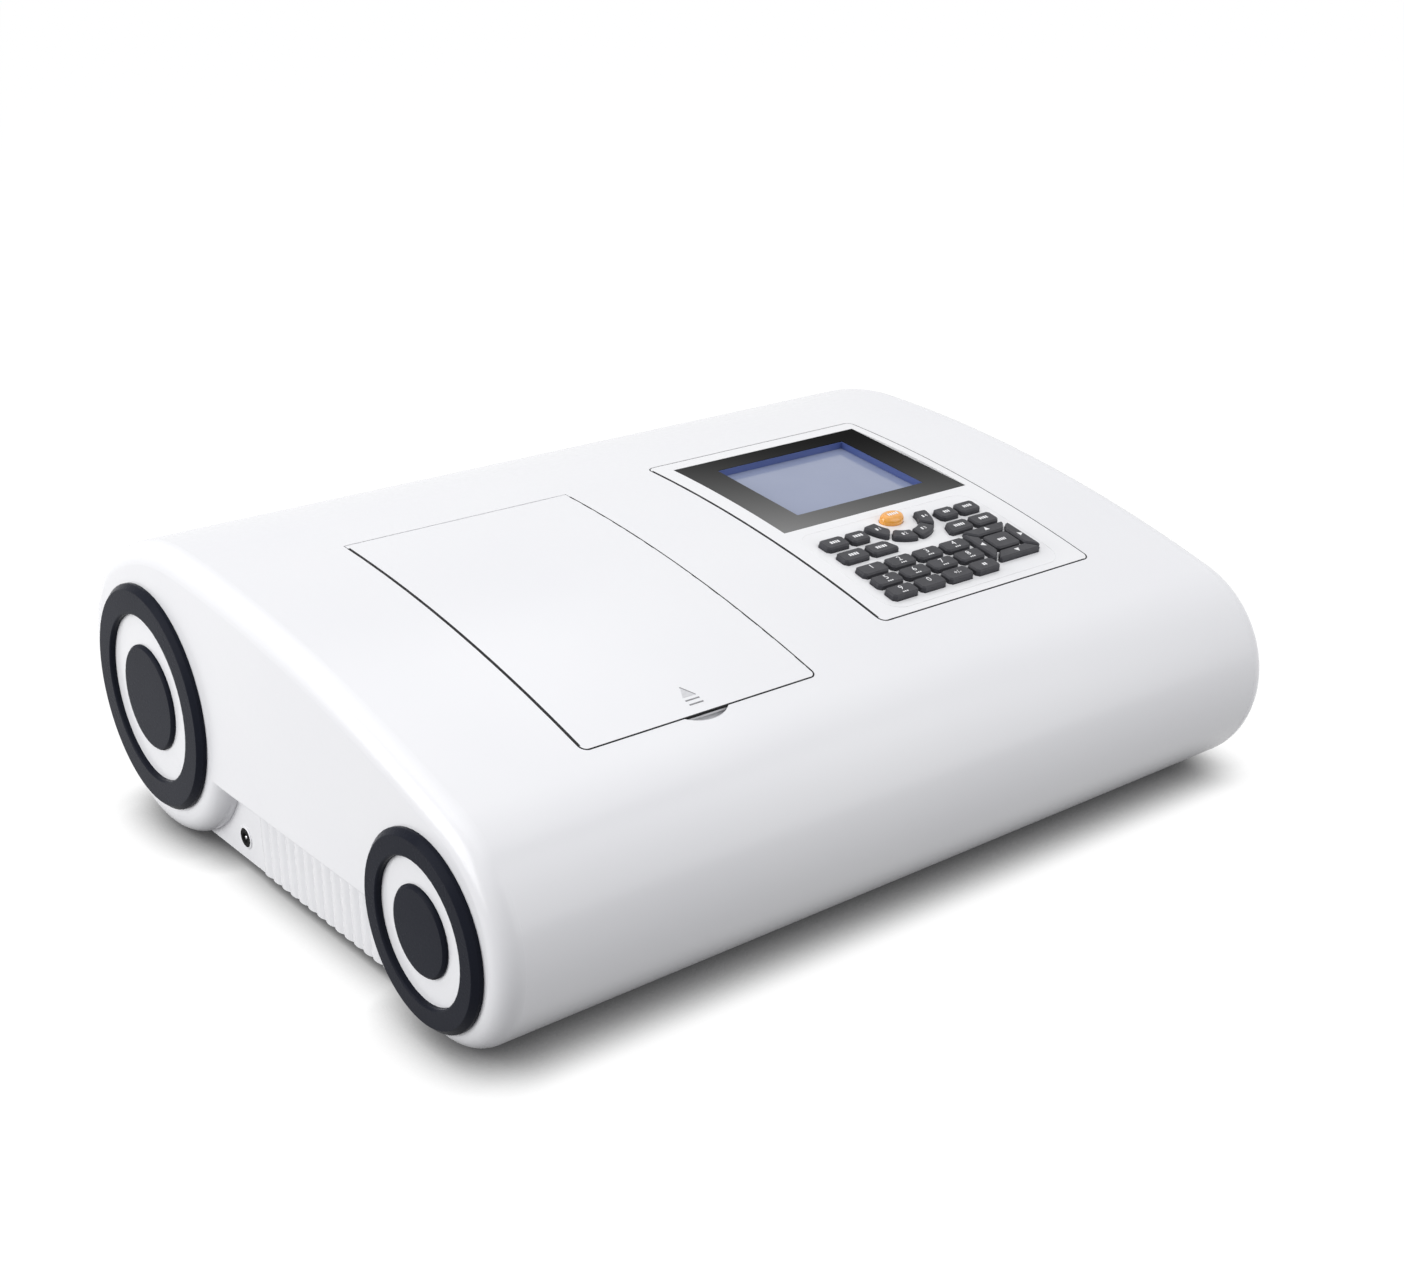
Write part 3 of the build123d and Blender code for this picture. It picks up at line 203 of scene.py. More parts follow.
# Base pan: one white moulding with fluted side walls, a ramp and the connector panel at the back.
# Injection moulded ABS in the colour of the case, with a fine even grain.
CASE_WHITE = (0.87, 0.87, 0.885)
CASE_WHITE_DEEP = (0.85, 0.85, 0.87)
NOISE_LOW, NOISE_HIGH = 0.3, 0.7


def grain(tree, size, detail, stretch):
    """Noise of a given size in metres, fixed in the piece."""
    place = tree.nodes.new("ShaderNodeTexCoord")
    spread = tree.nodes.new("ShaderNodeMapping")
    spread.inputs["Scale"].default_value = stretch
    noise = tree.nodes.new("ShaderNodeTexNoise")
    noise.inputs["Scale"].default_value = 1 / size
    noise.inputs["Detail"].default_value = detail
    tree.links.new(place.outputs["Object"], spread.inputs["Vector"])
    tree.links.new(spread.outputs[0], noise.inputs["Vector"])
    return noise.outputs["Fac"]


def spread_between(tree, value, low, high):
    """A noise value's middle range, spread between two numbers."""
    ramp = tree.nodes.new("ShaderNodeMapRange")
    ramp.inputs["From Min"].default_value = NOISE_LOW
    ramp.inputs["From Max"].default_value = NOISE_HIGH
    ramp.inputs["To Min"].default_value = low
    ramp.inputs["To Max"].default_value = high
    tree.links.new(value, ramp.inputs["Value"])
    return ramp.outputs[0]


def surface(name, colours, patch, gloss, gloss_grain, relief, relief_grain, stretch=(1, 1, 1), **sockets):
    """A finish whose colour drifts between two shades in patches, with its own grain in gloss and relief.

    patch, gloss_grain and relief_grain are sizes in metres, relief is a depth in metres, and gloss is the
    least and the most roughness.
    """
    material = bpy.data.materials.new(name)
    material.use_nodes = True
    tree = material.node_tree
    shader = tree.nodes["Principled BSDF"]
    mix = colour_mix(tree, (*colours[0], 1), (*colours[1], 1))
    tree.links.new(spread_between(tree, grain(tree, patch, 2.0, stretch), 0, 1), mix.inputs["Factor"])
    tree.links.new(mix.outputs["Result"], shader.inputs["Base Color"])
    rough = spread_between(tree, grain(tree, gloss_grain, 4.0, stretch), *gloss)
    tree.links.new(rough, shader.inputs["Roughness"])
    bump = tree.nodes.new("ShaderNodeBump")
    bump.inputs["Distance"].default_value = relief
    bump.inputs["Strength"].default_value = 1.0
    tree.links.new(grain(tree, relief_grain, 2.0, stretch), bump.inputs["Height"])
    tree.links.new(bump.outputs[0], shader.inputs["Normal"])
    for socket, value in sockets.items():
        shader.inputs[socket.replace("_", " ")].default_value = value
    return material


def dress(node, material):
    """Gives a construction piece its finish."""
    for place in nodes[node].material_slots:
        place.material = material


case_plastic = surface("case_plastic", (CASE_WHITE, CASE_WHITE_DEEP), patch=0.16,
                       gloss=(0.20, 0.27), gloss_grain=0.004, relief=0.00002, relief_grain=0.0022)
dress("base_pan", case_plastic)


# Feet: four black rubber studs, each held by a cross-recessed screw.
# The screw's head sits in the stud's recess, clear of the bench.
FOOT_MIDDLE = 0.011
FOOT_SCREW_R = 0.0028
FOOT_SCREW_Z = 0.0030
HEAD_TALL = 0.55
HEAD_PROFILE = ((0.96, 0), (1, 0.18), (0.93, 0.62), (0.74, 1))
RECESS_LONG, RECESS_WIDE, RECESS_DEEP, RECESS_ROOT = 0.52, 0.13, 0.65, 0.7


def solid(name, bm, material, body, sharp=35):
    """Puts a new closed piece in the scene, on the body that carries it."""
    bmesh.ops.recalc_face_normals(bm, faces=bm.faces)
    mesh = bpy.data.meshes.new(name)
    bm.to_mesh(mesh)
    bm.free()
    mesh.materials.append(material)
    mesh.shade_smooth()
    mesh.set_sharp_from_angle(angle=math.radians(sharp))
    piece = bpy.data.objects.new(name, mesh)
    bpy.context.scene.collection.objects.link(piece)
    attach(piece, body)
    return piece


def facing(at, towards):
    """Place at a point, whose own Z looks a given way."""
    return Matrix.Translation(at) @ Vector(towards).to_track_quat("Z", "Y").to_matrix().to_4x4()


def add_ring(bm, place, radius, height, count):
    """Circle of corners round a place's Z."""
    angles = [2 * math.pi * k / count for k in range(count)]
    corners = [Vector((radius * math.cos(a), radius * math.sin(a), height)) for a in angles]
    return [bm.verts.new(place @ corner) for corner in corners]


def add_walls(bm, rings, closed=False):
    """Skins over a row of loops that have the same number of corners."""
    pairs = list(zip(rings, rings[1:])) + ([(rings[-1], rings[0])] if closed else [])
    for low, high in pairs:
        n = len(low)
        for k in range(n):
            bm.faces.new((low[k], low[(k + 1) % n], high[(k + 1) % n], high[k]))


def add_screw(bm, place, r, count=24):
    """Pan head with a cross recess, standing on its place. Its other sizes are shares of its radius."""
    h = HEAD_TALL * r
    rings = [add_ring(bm, place, across * r, up * h, count) for across, up in HEAD_PROFILE]
    add_walls(bm, rings)
    bm.faces.new(reversed(rings[0]))
    long, short = RECESS_LONG * r, RECESS_WIDE * r
    corners = []
    for k in range(4):
        turned_by = Matrix.Rotation(math.pi / 2 * k, 2)
        corners += [turned_by @ Vector(c) for c in ((long, -short), (long, short), (short, short))]
    mouth = [bm.verts.new(place @ Vector((c.x, c.y, h))) for c in corners]
    floor = h - RECESS_DEEP * h
    root = [bm.verts.new(place @ Vector((RECESS_ROOT * c.x, RECESS_ROOT * c.y, floor))) for c in corners]
    add_walls(bm, [mouth, root])
    bm.faces.new(root)
    top = rings[-1] + mouth
    inverse = place.inverted()
    loops = [[(inverse @ v.co).to_2d().to_3d() for v in loop] for loop in (rings[-1], mouth)]
    for triangle in tessellate_polygon(loops):
        bm.faces.new([top[i] for i in triangle])


foot_rubber = surface("foot_rubber", ((0.018, 0.018, 0.018), (0.035, 0.035, 0.034)), patch=0.012,
                      gloss=(0.72, 0.88), gloss_grain=0.002, relief=0.00008, relief_grain=0.0008)
screw_steel = surface("screw_steel", ((0.50, 0.50, 0.51), (0.62, 0.62, 0.63)), patch=0.003,
                      gloss=(0.22, 0.38), gloss_grain=0.001, relief=0.00002, relief_grain=0.0005,
                      Metallic=1.0)
dress("rubber_feet", foot_rubber)
foot_low, foot_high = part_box("rubber_feet")
bm = bmesh.new()
for x in (foot_low.x + FOOT_MIDDLE, foot_high.x - FOOT_MIDDLE):
    for y in (foot_low.y + FOOT_MIDDLE, foot_high.y - FOOT_MIDDLE):
        add_screw(bm, facing((x, y, FOOT_SCREW_Z), (0, 0, -1)), FOOT_SCREW_R)
solid("foot_screws", bm, screw_steel, "housing")


# Inner units: the optical bench and what stands on it, and the electronics.
# Cast and blasted aluminium, plated sheet and a green board, all closed in by the case.
CASTING_EDGE = 0.0008
JOIN_WITHIN = 0.000002
NEARLY_FLAT = 0.3


def joined_copy(node):
    """Copy of a construction piece's mesh, with its split corners joined and no stored shading."""
    bm = bmesh.new()
    bm.from_mesh(nodes[node].data)
    for layer in list(bm.loops.layers.float_vector):
        bm.loops.layers.float_vector.remove(layer)
    bmesh.ops.remove_doubles(bm, verts=bm.verts, dist=JOIN_WITHIN)
    return bm


def eased(node, radius, material, sharp=28):
    """Draws a construction piece again with its sharp edges rounded, in place of the sharp one."""
    bm = joined_copy(node)
    bmesh.ops.dissolve_limit(bm, angle_limit=math.radians(NEARLY_FLAT), verts=bm.verts, edges=bm.edges)
    hard = [e for e in bm.edges if e.is_manifold and e.calc_face_angle(0) > math.radians(sharp)]
    bmesh.ops.bevel(bm, geom=hard, offset=radius, offset_type="OFFSET", segments=2, profile=0.5,
                    affect="EDGES", clamp_overlap=True)
    piece = solid(f"{node}_eased", bm, material, nodes[node]["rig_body"], sharp=60)
    weighted = piece.modifiers.new("flat_faces_first", "WEIGHTED_NORMAL")
    weighted.keep_sharp = True
    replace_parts(piece, node)


cast_alloy = surface("cast_alloy", ((0.42, 0.43, 0.44), (0.56, 0.57, 0.58)), patch=0.03,
                     gloss=(0.45, 0.62), gloss_grain=0.0015, relief=0.00012, relief_grain=0.0012,
                     Metallic=1.0)
plated_steel = surface("plated_steel", ((0.55, 0.56, 0.58), (0.68, 0.68, 0.66)), patch=0.02,
                       gloss=(0.22, 0.38), gloss_grain=0.006, relief=0.00001, relief_grain=0.002,
                       Metallic=1.0)
board_green = surface("board_green", ((0.012, 0.10, 0.045), (0.02, 0.15, 0.06)), patch=0.004,
                      gloss=(0.3, 0.45), gloss_grain=0.002, relief=0.00004, relief_grain=0.0016)
for unit in ("optical_bench", "monochromator", "lamp_house", "detector_box"):
    eased(unit, CASTING_EDGE, cast_alloy)
dress("power_supply", plated_steel)
dress("main_board", board_green)


# Top cover: one glossy white skin that runs from under the nose to under the back.
# Moulded, with the openings for the lid and the panel, and a ledge under each.
COVER_EDGE = 0.0004
eased("top_cover", COVER_EDGE, case_plastic)


# End caps: white mouldings that close the skin at both ends, with a raised white field in each ring.
# They hook over the skin's edge and carry the trim. A grey strip on each lower edge paints the seam's
# shadow.
CAP_SEAM_SHADOW_X = (0.3105, 0.3129)
CAP_SEAM_SHADOW_Y = (-0.1235, 0.0700)
CAP_SEAM_SHADOW_Z = (0.0644, 0.0652)


def oblong(xs, ys):
    """Corners of a rectangle, in turn."""
    return (xs[0], ys[0]), (xs[1], ys[0]), (xs[1], ys[1]), (xs[0], ys[1])


def add_slab(bm, low, high):
    """Solid between two outlines that have the same number of corners."""
    outlines = [[bm.verts.new(point) for point in outline] for outline in (low, high)]
    add_walls(bm, outlines)
    for outline in outlines:
        bm.faces.new(outline)


def add_block(bm, xs, ys, zs):
    """Block between two corners."""
    add_slab(bm, *([(x, y, z) for x, y in oblong(xs, ys)] for z in zs))


# Pale grey that paints shade: the seam lines under the caps and the arrow on the lid.
painted_shade_grey = surface("painted_shade_grey", ((0.62, 0.62, 0.64), (0.68, 0.68, 0.70)), patch=0.002,
                    gloss=(0.4, 0.5), gloss_grain=0.0008, relief=0.000004, relief_grain=0.0004)
dress("left_end_cap", case_plastic)
dress("right_end_cap", case_plastic)
# Grey strips along the seam under each cap's lower edge: painted shadow.
bm = bmesh.new()
add_block(bm, CAP_SEAM_SHADOW_X, CAP_SEAM_SHADOW_Y, CAP_SEAM_SHADOW_Z)
add_block(bm, [-x for x in CAP_SEAM_SHADOW_X], CAP_SEAM_SHADOW_Y, CAP_SEAM_SHADOW_Z)
solid("cap_seam_shadows", bm, painted_shade_grey, "housing")


# Trim rings and hubs: blue-black mouldings pressed on to the end caps.
# Satin ABS, with a bevel round each rim that catches the light.
RIM_EDGE = 0.0004
trim_black = surface("trim_black", ((0.0130, 0.0145, 0.0220), (0.0160, 0.0180, 0.0260)), patch=0.05,
                     gloss=(0.22, 0.30), gloss_grain=0.003, relief=0.00001, relief_grain=0.0015,
                     IOR=1.15, Specular_IOR_Level=0.2)
for trim in ("trim_rings", "trim_hubs"):
    eased(trim, RIM_EDGE, trim_black, sharp=20)


# Side jack: a lipped black socket with a bright centre pin and a spring sleeve in its bore.
# It is pushed into the base pan from outside, inside a slim white lip of the pan.
JACK_WALL_X = -0.298
JACK_Y, JACK_Z = 0.071, 0.024
JACK_SLEEVE = ((0.0028, -0.0045), (0.0031, -0.0045), (0.0031, -0.0110), (0.0028, -0.0110))
JACK_LIP = ((0.00635, -0.0004), (0.00635, 0.0004), (0.0066, 0.0008),
            (0.0073, 0.0008), (0.0078, 0.0004), (0.0080, -0.0004))


def add_turned(bm, place, profile, count=48):
    """Closed ring turned round a place's Z, from a profile of radius and height."""
    add_walls(bm, [add_ring(bm, place, r, z, count) for r, z in profile], closed=True)


def shells(node):
    """The separate solids of a construction piece, largest first."""
    bm = joined_copy(node)
    left = set(bm.verts)
    found = []
    while left:
        group, edge = set(), [left.pop()]
        while edge:
            v = edge.pop()
            group.add(v)
            near = [e.other_vert(v) for e in v.link_edges]
            edge += [o for o in near if o in left]
            left.difference_update(near)
        found.append({v.index for v in group})
    parts = []
    for group in sorted(found, key=len, reverse=True):
        part = bm.copy()
        bmesh.ops.delete(part, geom=[v for v in part.verts if v.index not in group], context="VERTS")
        parts.append(part)
    bm.free()
    return parts


socket_black = surface("socket_black", ((0.008, 0.008, 0.008), (0.015, 0.015, 0.015)), patch=0.01,
                       gloss=(0.30, 0.42), gloss_grain=0.002, relief=0.00003, relief_grain=0.001,
                       Specular_IOR_Level=0.3)
jack_black = surface("jack_black", ((0.004, 0.004, 0.004), (0.007, 0.007, 0.007)), patch=0.01,
                     gloss=(0.24, 0.34), gloss_grain=0.002, relief=0.00002, relief_grain=0.001,
                     IOR=1.15, Specular_IOR_Level=0.2)
socket, pin = shells("side_jack")
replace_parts(solid("jack_socket", socket, jack_black, "housing"), "side_jack")
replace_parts(solid("jack_pin", pin, screw_steel, "housing"), "side_jack")
jack_place = facing((JACK_WALL_X, JACK_Y, JACK_Z), (-1, 0, 0))
bm = bmesh.new()
add_turned(bm, jack_place, JACK_SLEEVE)
solid("jack_sleeve", bm, screw_steel, "housing")
bm = bmesh.new()
add_turned(bm, jack_place, JACK_LIP)
solid("jack_lip", bm, case_plastic, "housing")


# Sample lid: a flush white moulding on two gooseneck arms that turn on ground steel pins.
# Where the finger lifts it, its skin has a raised arrow and two bars, in greys that are painted shade:
# pale on the arrow, dark along its right side and on the bars. A dark strip along its sides and front
# paints the gap's shadow; its lip stands proud along the left and the front, for a deeper shadow there.
LID_EDGE = 0.0004
LID_CORNER_R = 0.0045
# Sizes of the dark strips that paint the shadow in the lid's gap, and of their lip.
GAP_SHADOW_T = 0.0009
GAP_SHADOW_IN = 0.0003
GAP_SHADOW_TOP, GAP_SHADOW_FOOT = 0.0, 0.0014
LIP_IN, LIP_T, LIP_TOP = 0.0010, 0.0008, -0.00004
CORNER_STEPS, PATH_STEP = 6, 0.005
BESIDE, BARELY = 0.006, 0.0001
MARK_X = -0.1289
MARK_ARROW = ((-0.0048, -0.1794), (0.0048, -0.1794), (0.0, -0.1708))
MARK_BARS = (-0.1828, -0.1866)
MARK_BAR_LONG, MARK_LINE = 0.0100, 0.0008
MARK_RISE, LINE_RISE, MARK_SINK = 0.00020, 0.00026, 0.0003


def top_of(node):
    """Gives the height of a construction piece's upper surface over a place."""
    mesh = nodes[node].data
    tree = BVHTree.FromPolygons([v.co for v in mesh.vertices], [p.vertices for p in mesh.polygons])
    return lambda x, y: tree.ray_cast(Vector((x, y, 1)), Vector((0, 0, -1)))[0].z


def round_corners(x0, x1, y0, y1, r):
    """Points and outward directions round a rectangle, close enough together to follow a curved top."""
    path = []
    for x, y, start in ((x0, y0, 180), (x1, y0, 270), (x1, y1, 0), (x0, y1, 90)):
        middle = Vector((x + math.copysign(r, x0 + x1 - 2 * x), y + math.copysign(r, y0 + y1 - 2 * y)))
        for k in range(CORNER_STEPS + 1):
            a = math.radians(start + 90 * k / CORNER_STEPS)
            out = Vector((math.cos(a), math.sin(a)))
            path.append((middle + r * out, out))
    dense = []
    for (a, out_a), (b, out_b) in zip(path, path[1:] + path[:1]):
        steps = max(1, round((b - a).length / PATH_STEP))
        dense += [(a.lerp(b, k / steps), out_a.lerp(out_b, k / steps)) for k in range(steps)]
    return dense


def from_the_back(path):
    """The same loop, begun on its back edge, so that what runs along its sides and front is in one piece."""
    start = next(i for i, (p, out) in enumerate(path) if out.y > 0.5)
    return path[start:] + path[:start]


def add_border(bm, path, height, inner, outer, top, foot, closed=True):
    """Strip of square section along a path, at given depths under a surface: a loop, or with two ends."""
    rings = []
    for p, out in path:
        z = height(*p)
        corners = ((inner, foot), (outer, foot), (outer, top), (inner, top))
        rings.append([bm.verts.new((*(p + off * out), z - drop)) for off, drop in corners])
    add_walls(bm, rings, closed)
    if not closed:
        bm.faces.new(rings[0])
        bm.faces.new(reversed(rings[-1]))


def add_shadow_lip(bm, path, height):
    """Dark lip along the left and front of a loop, a hair above the skin: painted deeper shadow of the gap.
    """
    run = [(p, out) for p, out in from_the_back(path) if out.y < BARELY and out.x < BARELY]
    add_border(bm, run, height, -LIP_IN, LIP_T, LIP_TOP, GAP_SHADOW_FOOT, closed=False)


def add_print(bm, points, height, rise):
    """Flat mark with straight edges, raised a little from a curved top."""
    add_slab(bm, *([(x, y, height(x, y) + up) for x, y in points] for up in (-MARK_SINK, rise)))


ground_steel = surface("ground_steel", ((0.55, 0.55, 0.57), (0.66, 0.66, 0.68)), patch=0.01,
                       gloss=(0.20, 0.30), gloss_grain=0.002, relief=0.000002, relief_grain=0.0008,
                       stretch=(1, 0.05, 1), Metallic=1.0)
# Black of the strips that paint the shadow in the gaps round the lid and the panel.
gap_shadow_black = surface("gap_shadow_black", ((0.012, 0.012, 0.013), (0.020, 0.020, 0.022)), patch=0.01,
                     gloss=(0.6, 0.75), gloss_grain=0.001, relief=0.00004, relief_grain=0.0006,
                     Specular_IOR_Level=0.2)
# Dark grey that paints shade on the lid's mark: its arrow's right side and its bars.
painted_shadow_grey = surface("painted_shadow_grey", ((0.20, 0.20, 0.21), (0.26, 0.26, 0.27)), patch=0.002,
                    gloss=(0.4, 0.5), gloss_grain=0.0008, relief=0.000004, relief_grain=0.0004)
eased("sample_lid", LID_EDGE, case_plastic)
lid_low, lid_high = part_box("sample_lid")
lid_back = max(nodes["sample_lid"].data.vertices, key=lambda v: v.co.z).co.y
lid_top = top_of("sample_lid")


def lid_height(x, y):
    """Height of the lid's skin, which is the same all along X, also just outside its edge."""
    return lid_top(lid_low.x + BESIDE, min(max(y, lid_low.y + BARELY), lid_back - BARELY))


edge = from_the_back(round_corners(lid_low.x, lid_high.x, lid_low.y, lid_back, LID_CORNER_R))
sides_and_front = [(p, out) for p, out in edge if out.y < BARELY]
# Dark strip in the gap along the lid's sides and front: painted shadow of the gap.
bm = bmesh.new()
add_border(bm, sides_and_front, lid_height, -GAP_SHADOW_IN, GAP_SHADOW_T, GAP_SHADOW_TOP, GAP_SHADOW_FOOT, closed=False)
solid("lid_gap_shadow", bm, gap_shadow_black, "lid")
# Its lip along the left and front paints a deeper shadow there.
bm = bmesh.new()
add_shadow_lip(bm, edge, lid_height)
solid("lid_gap_shadow_lip", bm, gap_shadow_black, "lid")
# The mark's greys are painted shade: pale on the arrow, dark along its right side and on the bars.
arrow = [(MARK_X + x, y) for x, y in MARK_ARROW]
bm = bmesh.new()
add_print(bm, arrow, lid_top, MARK_RISE)
solid("lid_arrow", bm, painted_shade_grey, "lid")
(right_x, right_y), (tip_x, tip_y) = arrow[1:]
right_line = [(right_x - MARK_LINE, right_y), (right_x, right_y), (tip_x, tip_y), (tip_x - MARK_LINE, tip_y)]
bar_xs = (MARK_X - MARK_BAR_LONG / 2, MARK_X + MARK_BAR_LONG / 2)
bm = bmesh.new()
add_print(bm, right_line, lid_top, LINE_RISE)
for y in MARK_BARS:
    add_print(bm, oblong(bar_xs, (y, y + MARK_LINE)), lid_top, LINE_RISE)
solid("lid_mark_shadows", bm, painted_shadow_grey, "lid")
dress("lid_hinge_pins", ground_steel)


# Sample well: a black lined tub with quartz windows in bezels, and the cell holders in it.
# Moulded in carbon-filled plastic; the holders are anodised, with their positions numbered.
WELL_WALL = 0.0025
BEAM_Z = 0.098
BEAM_YS = (-0.060, 0.034)
BEZEL_RING = ((0.0078, 0), (0.0078, 0.0008), (0.0082, 0.0012),
              (0.0096, 0.0012), (0.0100, 0.0008), (0.0100, 0))
HOLDER_EDGE = 0.0004
CELL_PITCH, CELL_COUNT = 0.016, 5
NUMBER_X = -0.1587
NUMBER_TALL = 0.0030
DIGIT_SHARE = 0.72
INK = 0.00008


def add_figures(bm, text, tall, place):
    """Solid numerals of an even thickness, centred on a flat face. Their height is that of a digit."""
    curve = bpy.data.curves.new("numerals", "FONT")
    curve.body = text
    curve.size = tall / DIGIT_SHARE
    curve.extrude = INK / 2
    curve.resolution_u = 2
    curve.align_x, curve.align_y = "CENTER", "CENTER"
    holder = bpy.data.objects.new("numerals", curve)
    mesh = bpy.data.meshes.new_from_object(holder)
    mesh.transform(place @ Matrix.Translation((0, 0, INK / 4)))
    bm.from_mesh(mesh)
    for data, kept in ((holder, bpy.data.objects), (mesh, bpy.data.meshes), (curve, bpy.data.curves)):
        kept.remove(data)
    bmesh.ops.remove_doubles(bm, verts=bm.verts, dist=1e-6)


well_black = surface("well_black", ((0.010, 0.010, 0.011), (0.020, 0.020, 0.022)), patch=0.03,
                     gloss=(0.55, 0.70), gloss_grain=0.0015, relief=0.00006, relief_grain=0.0009)
quartz = surface("quartz", ((0.92, 0.94, 0.95), (0.96, 0.97, 0.98)), patch=0.02,
                 gloss=(0.02, 0.05), gloss_grain=0.004, relief=0.000002, relief_grain=0.003,
                 Transmission_Weight=0.9, IOR=1.46)
black_anodised = surface("black_anodised", ((0.020, 0.020, 0.023), (0.035, 0.035, 0.040)), patch=0.02,
                         gloss=(0.34, 0.46), gloss_grain=0.0012, relief=0.00002, relief_grain=0.0009,
                         stretch=(1, 0.2, 1), Metallic=0.6)
ink_white = surface("ink_white", ((0.84, 0.84, 0.85), (0.92, 0.92, 0.93)), patch=0.002,
                    gloss=(0.45, 0.6), gloss_grain=0.0008, relief=0.000004, relief_grain=0.0004)
dress("sample_well", well_black)
dress("well_windows", quartz)
dress("carriage_rails", ground_steel)
for holder in ("cell_carriage", "reference_holder"):
    eased(holder, HOLDER_EDGE, black_anodised)
well_low, well_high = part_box("sample_well")
bm = bmesh.new()
for x, inward in ((well_low.x + WELL_WALL, 1), (well_high.x - WELL_WALL, -1)):
    for y in BEAM_YS:
        add_turned(bm, facing((x, y, BEAM_Z), (inward, 0, 0)), BEZEL_RING, count=40)
solid("window_bezels", bm, black_anodised, "housing")
holder_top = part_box("cell_carriage")[1].z
bm = bmesh.new()
for i in range(CELL_COUNT):
    at = Vector((NUMBER_X, BEAM_YS[0] - i * CELL_PITCH, holder_top))
    add_figures(bm, str(i + 1), NUMBER_TALL, Matrix.Translation(at))
solid("cell_numbers", bm, ink_white, "carriage")


# Control panel: a bright white moulded plate set flush in the cover; a dark strip paints its gap's shadow.
# The strip's lip stands proud along the left and the front, for a deeper shadow there.
# A slim bead runs round the keypad.
PANEL_EDGE = 0.0004
PANEL_CORNER_R = 0.005
# Sizes of the dark strip that paints the shadow in the panel's gap.
PANEL_SHADOW_T, PANEL_SHADOW_TOP, PANEL_SHADOW_FOOT = 0.0010, 0.0002, 0.0026
KEYPAD_MARGINS = (0.0075, 0.0065)
KEYPAD_FRONT, KEYPAD_BACK = -0.1625, -0.0655
KEYPAD_CORNER_R = 0.014
BEAD_WIDE, BEAD_RISE, BEAD_SINK = 0.0005, 0.00012, 0.0003
panel_white = surface("panel_white", ((0.89, 0.89, 0.90), (0.87, 0.87, 0.885)), patch=0.10,
                      gloss=(0.20, 0.27), gloss_grain=0.004, relief=0.00001, relief_grain=0.002)
eased("control_panel", PANEL_EDGE, panel_white)
panel_low, panel_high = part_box("control_panel")
panel_top = top_of("control_panel")


def panel_height(x, y):
    """Height of the panel's skin, which is the same all along X, also just outside its edge."""
    return panel_top(panel_low.x + BESIDE, min(max(y, panel_low.y + BARELY), panel_high.y - BARELY))


edge = round_corners(panel_low.x, panel_high.x, panel_low.y, panel_high.y, PANEL_CORNER_R)
# Dark strip in the gap round the panel: painted shadow of the gap.
bm = bmesh.new()
add_border(bm, edge, panel_height, -BARELY, PANEL_SHADOW_T, PANEL_SHADOW_TOP, PANEL_SHADOW_FOOT)
solid("panel_gap_shadow", bm, gap_shadow_black, "housing")
# Its lip along the left and front paints a deeper shadow there.
bm = bmesh.new()
add_shadow_lip(bm, edge, panel_height)
solid("panel_gap_shadow_lip", bm, gap_shadow_black, "housing")
keys = sorted(n for n in nodes if n.startswith("key_") and n != "key_board")
keypad_left = min(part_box(key)[0].x for key in keys) - KEYPAD_MARGINS[0]
keypad_right = max(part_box(key)[1].x for key in keys) + KEYPAD_MARGINS[1]
bead_path = round_corners(keypad_left, keypad_right, KEYPAD_FRONT, KEYPAD_BACK, KEYPAD_CORNER_R)
bm = bmesh.new()
add_border(bm, bead_path, panel_height, -BEAD_WIDE / 2, BEAD_WIDE / 2, -BEAD_RISE, BEAD_SINK)
solid("keypad_bead", bm, panel_white, "housing")


# Display: a glossy black plate with a window, and the blank blue screen behind it.
# The plate is glossy black, with a painted reflection that greys it towards the front left; a blue liner
# joins it to the screen.
BEZEL_EDGE = 0.00025
BEZEL_RIM = 0.005
# Painted reflection on the bezel: black where there is none, grey where it is brightest, and how it runs.
REFLECTION_LOW, REFLECTION_HIGH = (0.001, 0.001, 0.001), (0.250, 0.250, 0.247)
REFLECTION_RUN, REFLECTION_START = (-2.50, -4.60, 0), 0.83
REFLECTION_CURVE = 2.0
LINER_T = 0.0004
LINER_TOP, LINER_FOOT = 0.0004, 0.0054
UPWARD, LEVEL, SAME_HEIGHT = 0.9, 0.9999, 0.00005


def paint_reflection_front_left(material):
    """Paints a reflection into a finish, in place of its patches: first colour to second at the front left.
    """
    tree = material.node_tree
    place = tree.nodes.new("ShaderNodeTexCoord")
    along = tree.nodes.new("ShaderNodeVectorMath")
    along.operation = "DOT_PRODUCT"
    along.inputs[1].default_value = REFLECTION_RUN
    fade = tree.nodes.new("ShaderNodeMath")
    fade.operation, fade.use_clamp = "ADD", True
    fade.inputs[1].default_value = REFLECTION_START
    curve = tree.nodes.new("ShaderNodeMath")
    curve.operation = "POWER"
    curve.inputs[1].default_value = REFLECTION_CURVE
    tree.links.new(place.outputs["Object"], along.inputs[0])
    tree.links.new(along.outputs["Value"], fade.inputs[0])
    tree.links.new(fade.outputs[0], curve.inputs[0])
    mix = next(n for n in tree.nodes if n.bl_idname == "ShaderNodeMix")
    tree.links.new(curve.outputs[0], mix.inputs["Factor"])


